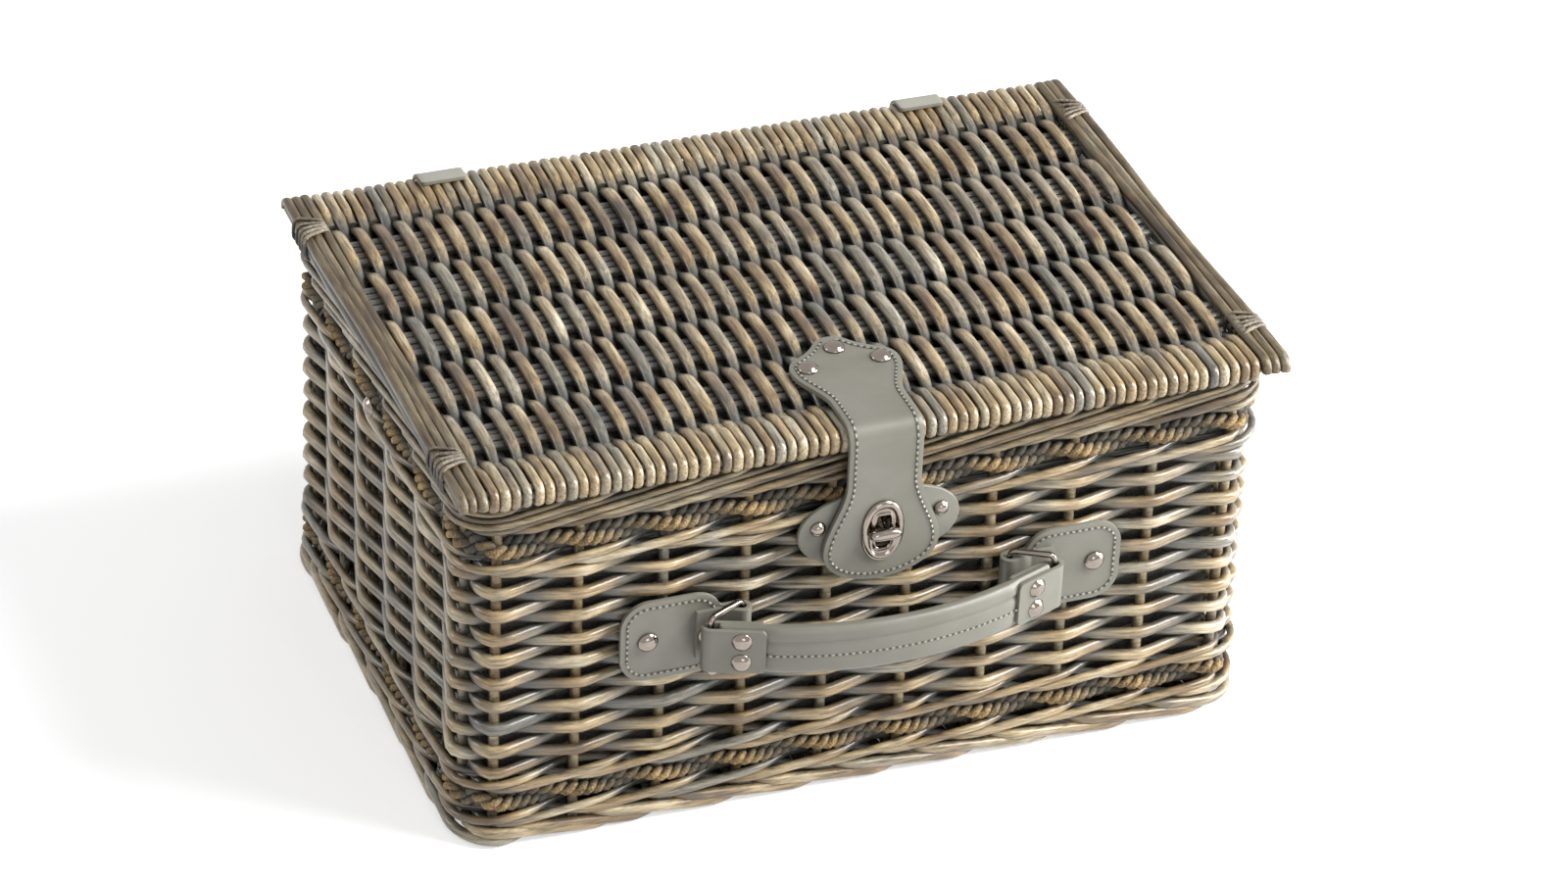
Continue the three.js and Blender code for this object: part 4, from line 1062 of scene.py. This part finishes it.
def make_patch():
    """The oval patch on the wall, its front edge a little rounded."""
    wide, tall, back, face = front_half_sizes("latch_patch")
    # how far in from the edge, and the share of the way from the back to the face
    steps = [(0.7, 0), (0, 0), (0, 0.7), (0.25, 0.9), (0.7, 1)]
    loops = [
        front_loop(wide - inset, tall - inset, 2.2, back + (face - back) * share, LATCH_Z)
        for inset, share in steps
    ]
    mesh = loft_mesh("latch_patch_leather", loops, strap_leather)
    finish_piece("latch_patch_leather", mesh, "basket", ["latch_patch"])


def make_eyelet():
    """A pressed oval plate with a raised rim round its slot."""
    wide, tall, back, face = front_half_sizes("eyelet_plate")
    # half width, half height, squareness, and the share of the way from the back to the face
    rim = [
        (wide, tall, 2.2, 0),
        (wide, tall, 2.2, 0.35),
        (wide - 0.9, tall - 0.9, 2.2, 0.85),
        (wide - 2.2, tall - 2.2, 2.2, 1),
        (wide - 3.4, tall - 3.5, 2.4, 0.75),
        (wide - 4.2, tall - 4.6, 2.8, 0.3),
        (5.4, 10.9, 4, 0.35),
        (4.9, 10.2, 4, 0.7),
        (4.1, 9.4, 5, 0.7),
        (3.7, 9, 5, 0.2),
        (3.7, 9, 5, 0),
        (wide, tall, 2.2, 0),
    ]
    loops = [front_loop(a, b, n, back + (face - back) * share, LATCH_Z) for a, b, n, share in rim]
    mesh = loft_mesh("eyelet_rim", loops, plate, "ring")
    finish_piece("eyelet_rim", mesh, "strap_flap", ["eyelet_plate"])


def make_knob():
    """A round shaft that carries a bar with soft edges. The lock's base behind it stays as its CAD node."""
    wide, tall, back, face = front_half_sizes("turn_knob")
    shaft = 2.5
    bar_back = face + 4.6
    # half width, half height, squareness and place in Y
    bar = [
        (shaft, shaft, 2, back),
        (shaft, shaft, 2, bar_back),
        (wide - 1.2, tall - 0.9, 3, bar_back),
        (wide - 0.2, tall - 0.2, 3, bar_back - 0.8),
        (wide, tall, 3, bar_back - 1.8),
        (wide - 0.4, tall - 0.5, 3, face + 1.2),
        (wide - 1.6, tall - 1.5, 3, face + 0.2),
        (wide - 3.2, tall - 2.6, 3, face),
    ]
    loops = [front_loop(a, b, n, y, LATCH_Z) for a, b, n, y in bar]
    mesh = loft_mesh("turn_knob_bar", loops, plate)
    finish_piece("turn_knob_bar", mesh, "knob", ["turn_knob"])
    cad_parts["turnlock_base"].material_slots[0].material = plate


# Hinges and stays


def make_hinges():
    """Leather straps that bend over the lid's back edge and hang down the wall."""
    bend = LID_EDGE + 1.3
    corner = 1.5
    lid_inset = 6.1
    over = arc((LID_BACK_STICK, LID_MIDDLE), bend, 90, 0)
    for side in ("left", "right"):
        low, high = node_box(f"hinge_wall_leaf_{side}")
        front = node_box(f"hinge_lid_leaf_{side}")[0][1] + lid_inset
        wall_y = high[1] - HINGE_LEATHER / 2
        hang = [(wall_y, LID_LOW[2] - 4), (wall_y, low[2] + 0.1)]
        route = np.concatenate([[(front, LID_MIDDLE + bend)], over, hang])
        length = route_length(route)
        half = (high[0] - low[0]) / 2

        def half_width(distance):
            end = min(distance, length - distance)
            return half - corner + round_end(max(end, 0.05), corner)

        place = across_x((low[0] + high[0]) / 2)
        name = f"hinge_strap_{side}"
        # the hinge's lighter leather is painted top light
        mesh = strap_mesh(name, route, half_width, place, HINGE_LEATHER, 90, 10, face=top_lit_hinge_leather)
        nodes = [f"hinge_lid_leaf_{side}", f"hinge_wall_leaf_{side}"]
        strap = finish_piece(name, mesh, None, nodes)
        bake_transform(strap)


def make_stays():
    """Straps that stop the lid. A stay lies folded under the rim, and each of its points is a point of the
    taut strap turned back about the hinge by the share of the lid's turn that its height gives it."""
    hinge = np.array([145.8, 198.15])
    opening = math.radians(100)
    wall_end = np.array([0, 173.0])
    lid_end = np.array([89.8, 197.0])

    def opened(point, angle):
        cosine, sine = math.cos(-angle), math.sin(-angle)
        a, b = point - hinge
        return hinge + np.array([cosine * a - sine * b, sine * a + cosine * b])

    route = []
    for share_along in np.linspace(0, 1, 60):
        taut = wall_end + (opened(lid_end, opening) - wall_end) * share_along
        low, high = 0, 1
        for _ in range(40):
            share = (low + high) / 2
            height = opened(taut, -share * opening)[1]
            if ease((height - wall_end[1]) / (lid_end[1] - wall_end[1])) > share:
                low = share
            else:
                high = share
        route.append(opened(taut, -high * opening))
    route = np.array(route)
    for side in ("left", "right"):
        low, high = node_box(f"lid_stay_{side}")
        middle = (low[0] + high[0]) / 2
        half = (high[0] - low[0]) / 2
        name = f"stay_strap_{side}"
        mesh = strap_mesh(name, route, lambda distance: half, across_x(middle), STAY_LEATHER, 60, 6)
        stay = finish_piece(name, mesh, None, [f"lid_stay_{side}"])
        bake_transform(stay)


# Handle

# Where each ring's two bars lie at rest, in X and out from the wall, and how its end of the handle slants
TAB_BAR = np.array([70, 5.0])
HANDLE_BAR = np.array([89.602, 14.988])
END_TURN = math.radians(20.5)
RING_LEAN = math.radians(27)
RING_WIRE = 3
LOOP_LENGTH = 27
LOOP_BEND = 3.6
GRIP_HALF_HEIGHT = 13.3
GRIP_CREASE = 5.2
GRIP_STITCH_LINE = -2.4
BOW_RADIUS = (HANDLE_BAR[0] - LOOP_LENGTH * math.cos(END_TURN)) / math.sin(END_TURN)
BOW_OUT = HANDLE_BAR[1] + LOOP_LENGTH * math.sin(END_TURN) + BOW_RADIUS * (1 - math.cos(END_TURN))


def on_front(sign):
    """Handle pieces: the route is in X and out from the front wall, and across is up."""
    return lambda here, across: (sign * here[0], -HALF_DEPTH - here[1], HANDLE_Z + across)


def beside_end(along, across):
    """A place beside the handle's straight end: along from the ring to the middle, and away from the wall."""
    cosine, sine = math.cos(END_TURN), math.sin(END_TURN)
    return HANDLE_BAR + np.array([-along * cosine + across * sine, along * sine + across * cosine])


def make_tabs():
    """Leather folded round the ring's inner bar: a sewn pad on the wall, and a short leaf on top of it."""
    pad_out = 1.55
    leaf_out = 3.95
    pad_end, pad_start = (130.9, pad_out), (78, pad_out)
    landing, leaf_end = (81.5, leaf_out), (92.9, leaf_out)
    reach = np.array(landing) - TAB_BAR
    lift_off = math.degrees(math.atan2(reach[1], reach[0]) + math.acos(LOOP_BEND / np.hypot(*reach)))
    bend = arc(TAB_BAR, LOOP_BEND, 270, lift_off)
    route = np.concatenate([[pad_end, pad_start], bend, [landing, leaf_end]])
    pad_length = 52
    corner = 14
    straight_half = 8.5
    leaf_half = 13.5

    def half_height(distance):
        end = min(max(distance, 0.1), pad_length - distance)
        rounded = straight_half + round_end(max(end, 0), corner)
        return max(rounded, leaf_half) if distance > 8 else rounded

    for side, sign in (("left", -1), ("right", 1)):
        place = on_front(sign)
        mesh = strap_mesh(f"tab_{side}", route, half_height, place, TAB_LEATHER, 110, 16)
        finish_piece(f"tab_{side}", mesh, "basket", [f"handle_tab_{side}"])
        line = strap_outline(half_height, pad_length + 6, 0.2)
        sew(f"tab_stitches_{side}", line, -STITCH_INSET, route, place, TAB_LEATHER / 2, "basket")


def make_rings():
    """Wire bent to a rectangle with round corners and closed."""
    length = 22
    half_height = 16.5
    corner = 3
    corners = [(corner, -1), (length - corner, -1), (length - corner, 1), (corner, 1)]
    bends = []
    for (along, end), start in zip(corners, (180, 270, 0, 90)):
        bends.append(arc((along, end * (half_height - corner)), corner, start, start + 90, 6))
    along, up = np.concatenate(bends).T
    for side, sign in (("left", -1), ("right", 1)):
        x = sign * (TAB_BAR[0] + along * math.cos(RING_LEAN))
        y = -HALF_DEPTH - TAB_BAR[1] - along * math.sin(RING_LEAN)
        rods = [Rod(np.column_stack([x, y, HANDLE_Z + up]), closed=True)]
        mesh = rod_mesh(f"ring_wire_{side}", rods, [plate], RING_WIRE, RING_WIRE, 12, "MINIMUM")
        finish_piece(f"ring_wire_{side}", mesh, f"ring_{side}", [f"handle_ring_{side}"])


def make_end_loops():
    """Leather folded round the ring's outer bar, with both leaves riveted through the grip."""
    straight_half = 9.5
    corner = 2.5
    turn_in = 90 - math.degrees(END_TURN)
    bend = arc(HANDLE_BAR, LOOP_BEND, turn_in, turn_in - 180)
    start, end = beside_end(LOOP_LENGTH, LOOP_BEND), beside_end(LOOP_LENGTH, -LOOP_BEND)
    route = np.concatenate([[start], bend, [end]])
    length = route_length(route)

    def half_height(distance):
        from_end = min(distance, length - distance)
        return straight_half + round_end(max(from_end, 0.05), corner)

    for side, sign in (("left", -1), ("right", 1)):
        name = f"end_loop_{side}"
        mesh = strap_mesh(name, route, half_height, on_front(sign), LOOP_LEATHER, 110, 10)
        finish_piece(name, mesh, f"handle_{side}", [f"handle_loop_{side}"])


def grip_route():
    """The grip's middle line from the left ring to the right one."""
    straight = [beside_end(along, 0) for along in (4, 10, 16, 22, LOOP_LENGTH)]
    centre = (0, BOW_OUT - BOW_RADIUS)
    degrees = math.degrees(END_TURN)
    bow = arc(centre, BOW_RADIUS, 90 - degrees, 90, 20)[1:]
    right = np.concatenate([straight, bow])
    left = right[-2::-1] * np.array([-1, 1])
    return np.concatenate([right, left])


def grip_section(half_thick, half_height, steps=80):
    """A folded strap on edge: a rolled upper third, a shallow crease below it, and a line that the thread
    presses in."""
    turn = np.arange(steps) * full_turn / steps
    roundness = 0.6
    out = half_thick * np.sign(np.cos(turn)) * np.abs(np.cos(turn)) ** roundness
    up = half_height * np.sign(np.sin(turn)) * np.abs(np.sin(turn)) ** roundness
    crease = 0.9 * np.exp(-((up - GRIP_CREASE) ** 2))
    pressed = 0.4 * np.exp(-(((up - GRIP_STITCH_LINE) / 0.9) ** 2))
    swell = 0.5 * ease((up - GRIP_CREASE) / 4) * ease((half_height - up) / 3)
    return out + np.sign(out) * (swell - crease - pressed) * (np.abs(out) > 1), up


def make_grip():
    """The grip is thin inside the end loops, swells between them, and is sewn along its lower part."""
    route = grip_route()
    length = route_length(route)
    thin = 2.2
    swelling = 1.7
    loops = []
    distances = np.concatenate([[0, 0.6], np.linspace(2, length - 2, 60), [length - 0.6, length]])
    for distance in distances:
        end = min(distance, length - distance)
        half_thick = thin + swelling * ease((end - 20) / 8)
        shrink = 1 if 0.3 < end else 0.85
        out, up = grip_section(half_thick * shrink, GRIP_HALF_HEIGHT * shrink)
        here, side = on_route(route, distance)
        x = here[0] + side[0] * out
        wall_gap = here[1] + side[1] * out
        loops.append(np.column_stack([x, -HALF_DEPTH - wall_gap, HANDLE_Z + up]))
    nodes = ["handle_grip_left", "handle_grip_right"]
    grip = finish_piece("grip", loft_mesh("grip", loops, strap_leather), None, nodes)
    sewn_from = LOOP_LENGTH - 6
    along = np.linspace(sewn_from, length - sewn_from, 200)
    line = np.column_stack([np.full(len(along), GRIP_STITCH_LINE), along])
    sewing = sew("grip_stitches", line, 0, route, on_front(1), thin + swelling - 0.45, None)
    for piece in (grip, sewing):
        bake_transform(piece)


# Rivets


def make_rivet(node, facing, body):
    """A pressed cap: a thin flange and a smooth dome."""
    height = 3
    sides = 28
    # share of the radius, and share of the height
    profile = [
        (1, 0),
        (1, 0.18),
        (0.95, 0.3),
        (0.86, 0.42),
        (0.74, 0.66),
        (0.55, 0.85),
        (0.3, 0.97),
        (0.08, 1),
    ]
    low, high = node_box(node)
    radius = np.sort(high - low)[1] / 2
    facing = np.array(facing) / np.linalg.norm(facing)
    foot = (low + high) / 2 - facing * height / 2
    side = np.cross(facing, (0, 0, 1)) if abs(facing[2]) < 0.9 else np.array([1.0, 0, 0])
    side = side / np.linalg.norm(side)
    other = np.cross(facing, side)
    turn = np.arange(sides) * full_turn / sides
    ring = np.outer(np.cos(turn), side) + np.outer(np.sin(turn), other)
    loops = [foot + share * radius * ring + rise * height * facing for share, rise in profile]
    mesh = loft_mesh(node + "_cap", loops, plate)
    finish_piece(node + "_cap", mesh, body, [node])


def make_rivets():
    for place in ("left", "back", "right"):
        make_rivet(f"strap_rivet_{place}", (0, 0, 1), "lid")
    for side, sign in (("left", -1), ("right", 1)):
        make_rivet(f"patch_rivet_{side}", (0, -1, 0), "basket")
        make_rivet(f"hinge_rivet_{side}", (0, 1, 0), "basket")
        make_rivet(f"stay_rivet_{side}", (sign, 0, 0), "basket")
        for place in ("outer", "inner"):
            make_rivet(f"tab_rivet_{side}_{place}", (0, -1, 0), "basket")
        for place in ("upper", "lower"):
            facing = (sign * math.sin(END_TURN), -math.cos(END_TURN), 0)
            make_rivet(f"loop_rivet_{side}_{place}", facing, f"handle_{side}")


# Camera, floor and light


def aim_camera():
    """Where the photograph was taken from, as turn, rise and roll about a point inside the basket."""
    turn = math.radians(-22.401)
    rise = math.radians(33.054)
    roll = math.radians(2.838)
    distance = 2899.34 * MM
    focal_pixels = 5831.25
    frame_pixels = 1600
    target = Vector((8.44, 0, 110.58)) * MM
    back = Vector((math.sin(turn) * math.cos(rise), -math.cos(turn) * math.cos(rise), math.sin(rise)))
    level = Vector((math.cos(turn), math.sin(turn), 0))
    upright = back.cross(level)
    right = level * math.cos(roll) + upright * math.sin(roll)
    up = upright * math.cos(roll) - level * math.sin(roll)
    data = bpy.data.cameras.new("camera")
    data.sensor_fit = "HORIZONTAL"
    data.sensor_width = 36
    data.lens = data.sensor_width * focal_pixels / frame_pixels
    data.clip_end = 50
    camera = bpy.data.objects.new("camera", data)
    bpy.context.scene.collection.objects.link(camera)
    place = Matrix((right, up, back)).transposed().to_4x4()
    place.translation = target + back * distance
    camera.matrix_world = place
    bpy.context.scene.camera = camera


def seen_directly(tree):
    """1 for rays from the camera, off polished metal or through glass, and 0 for light that spreads."""
    rays = add_node(tree, "LightPath", {}).node.outputs
    camera, glossy, through = [rays[f"Is {kind} Ray"] for kind in ("Camera", "Glossy", "Transmission")]
    seen = add_node(tree, "Math", {"operation": "MAXIMUM", 0: camera, 1: glossy})
    return add_node(tree, "Math", {"operation": "MAXIMUM", 0: seen, 1: through})


def lay_floor():
    """A pale floor that shows as white to the camera and to polished metal, and keeps the shadow."""
    material, tree = new_material("pale_paper_floor")
    strength = add_node(tree, "Math", {"operation": "MULTIPLY", 0: seen_directly(tree), 1: 0.5})
    glow = add_node(tree, "Emission", {"Color": (1, 1, 1, 1), "Strength": strength})
    matt = add_node(tree, "BsdfDiffuse", {"Color": linear("#E8E8E8")})
    set_surface(tree, add_node(tree, "AddShader", {0: matt, 1: glow}))
    work = bmesh.new()
    bmesh.ops.create_grid(work, x_segments=1, y_segments=1, size=5)
    mesh = bpy.data.meshes.new("floor")
    work.to_mesh(mesh)
    work.free()
    mesh.materials.append(material)
    floor = bpy.data.objects.new("floor", mesh)
    bpy.context.scene.collection.objects.link(floor)


def light_scene():
    """A white room, a large lamp above the right, a low one beside it, and weaker ones left and in front."""
    world = bpy.data.worlds.new("studio")
    bpy.context.scene.world = world
    world.use_nodes = True
    tree = world.node_tree
    tree.nodes.clear()
    strength = ranged(tree, seen_directly(tree), 0, 1, 0.34, 1)
    sky = add_node(tree, "Background", {"Color": (1, 1, 1, 1), "Strength": strength})
    set_surface(tree, sky, "OutputWorld")
    # each lamp's place in metres, size and power
    lamps = [
        ("key", (1.7, -1.0, 2.0), 1.3, 100),
        ("right", (2.3, -0.6, 0.6), 1.2, 80),
        ("left", (-2.2, 0.9, 1.2), 1.0, 17),
        ("front", (-0.2, -2.5, 1.2), 1.2, 11),
    ]
    for name, place, size, power in lamps:
        data = bpy.data.lights.new(name, "AREA")
        data.shape = "DISK"
        data.size = size
        data.energy = power
        lamp = bpy.data.objects.new(name, data)
        lamp.location = place
        aim = Vector((0, 0, 0.12)) - Vector(place)
        lamp.rotation_euler = aim.to_track_quat("-Z", "Y").to_euler()
        bpy.context.scene.collection.objects.link(lamp)


aim_camera()
lay_floor()
light_scene()
bpy.context.scene.view_settings.view_transform = "Standard"

weave_base()
lay_foot()
for band in ("lower_wale", "lower_top_wale", "upper_wale"):
    weave_wale(band)
for band in ("lower_rope_band", "upper_rope_band"):
    weave_rope(band)
set_stakes()
weave_side()
hang_lining()
lay_rim()
weave_lid()
lay_lid_ends()
tie_bindings()
make_latch_strap()
make_patch()
make_eyelet()
make_knob()
make_hinges()
make_stays()
make_tabs()
make_rings()
make_end_loops()
make_grip()
make_rivets()
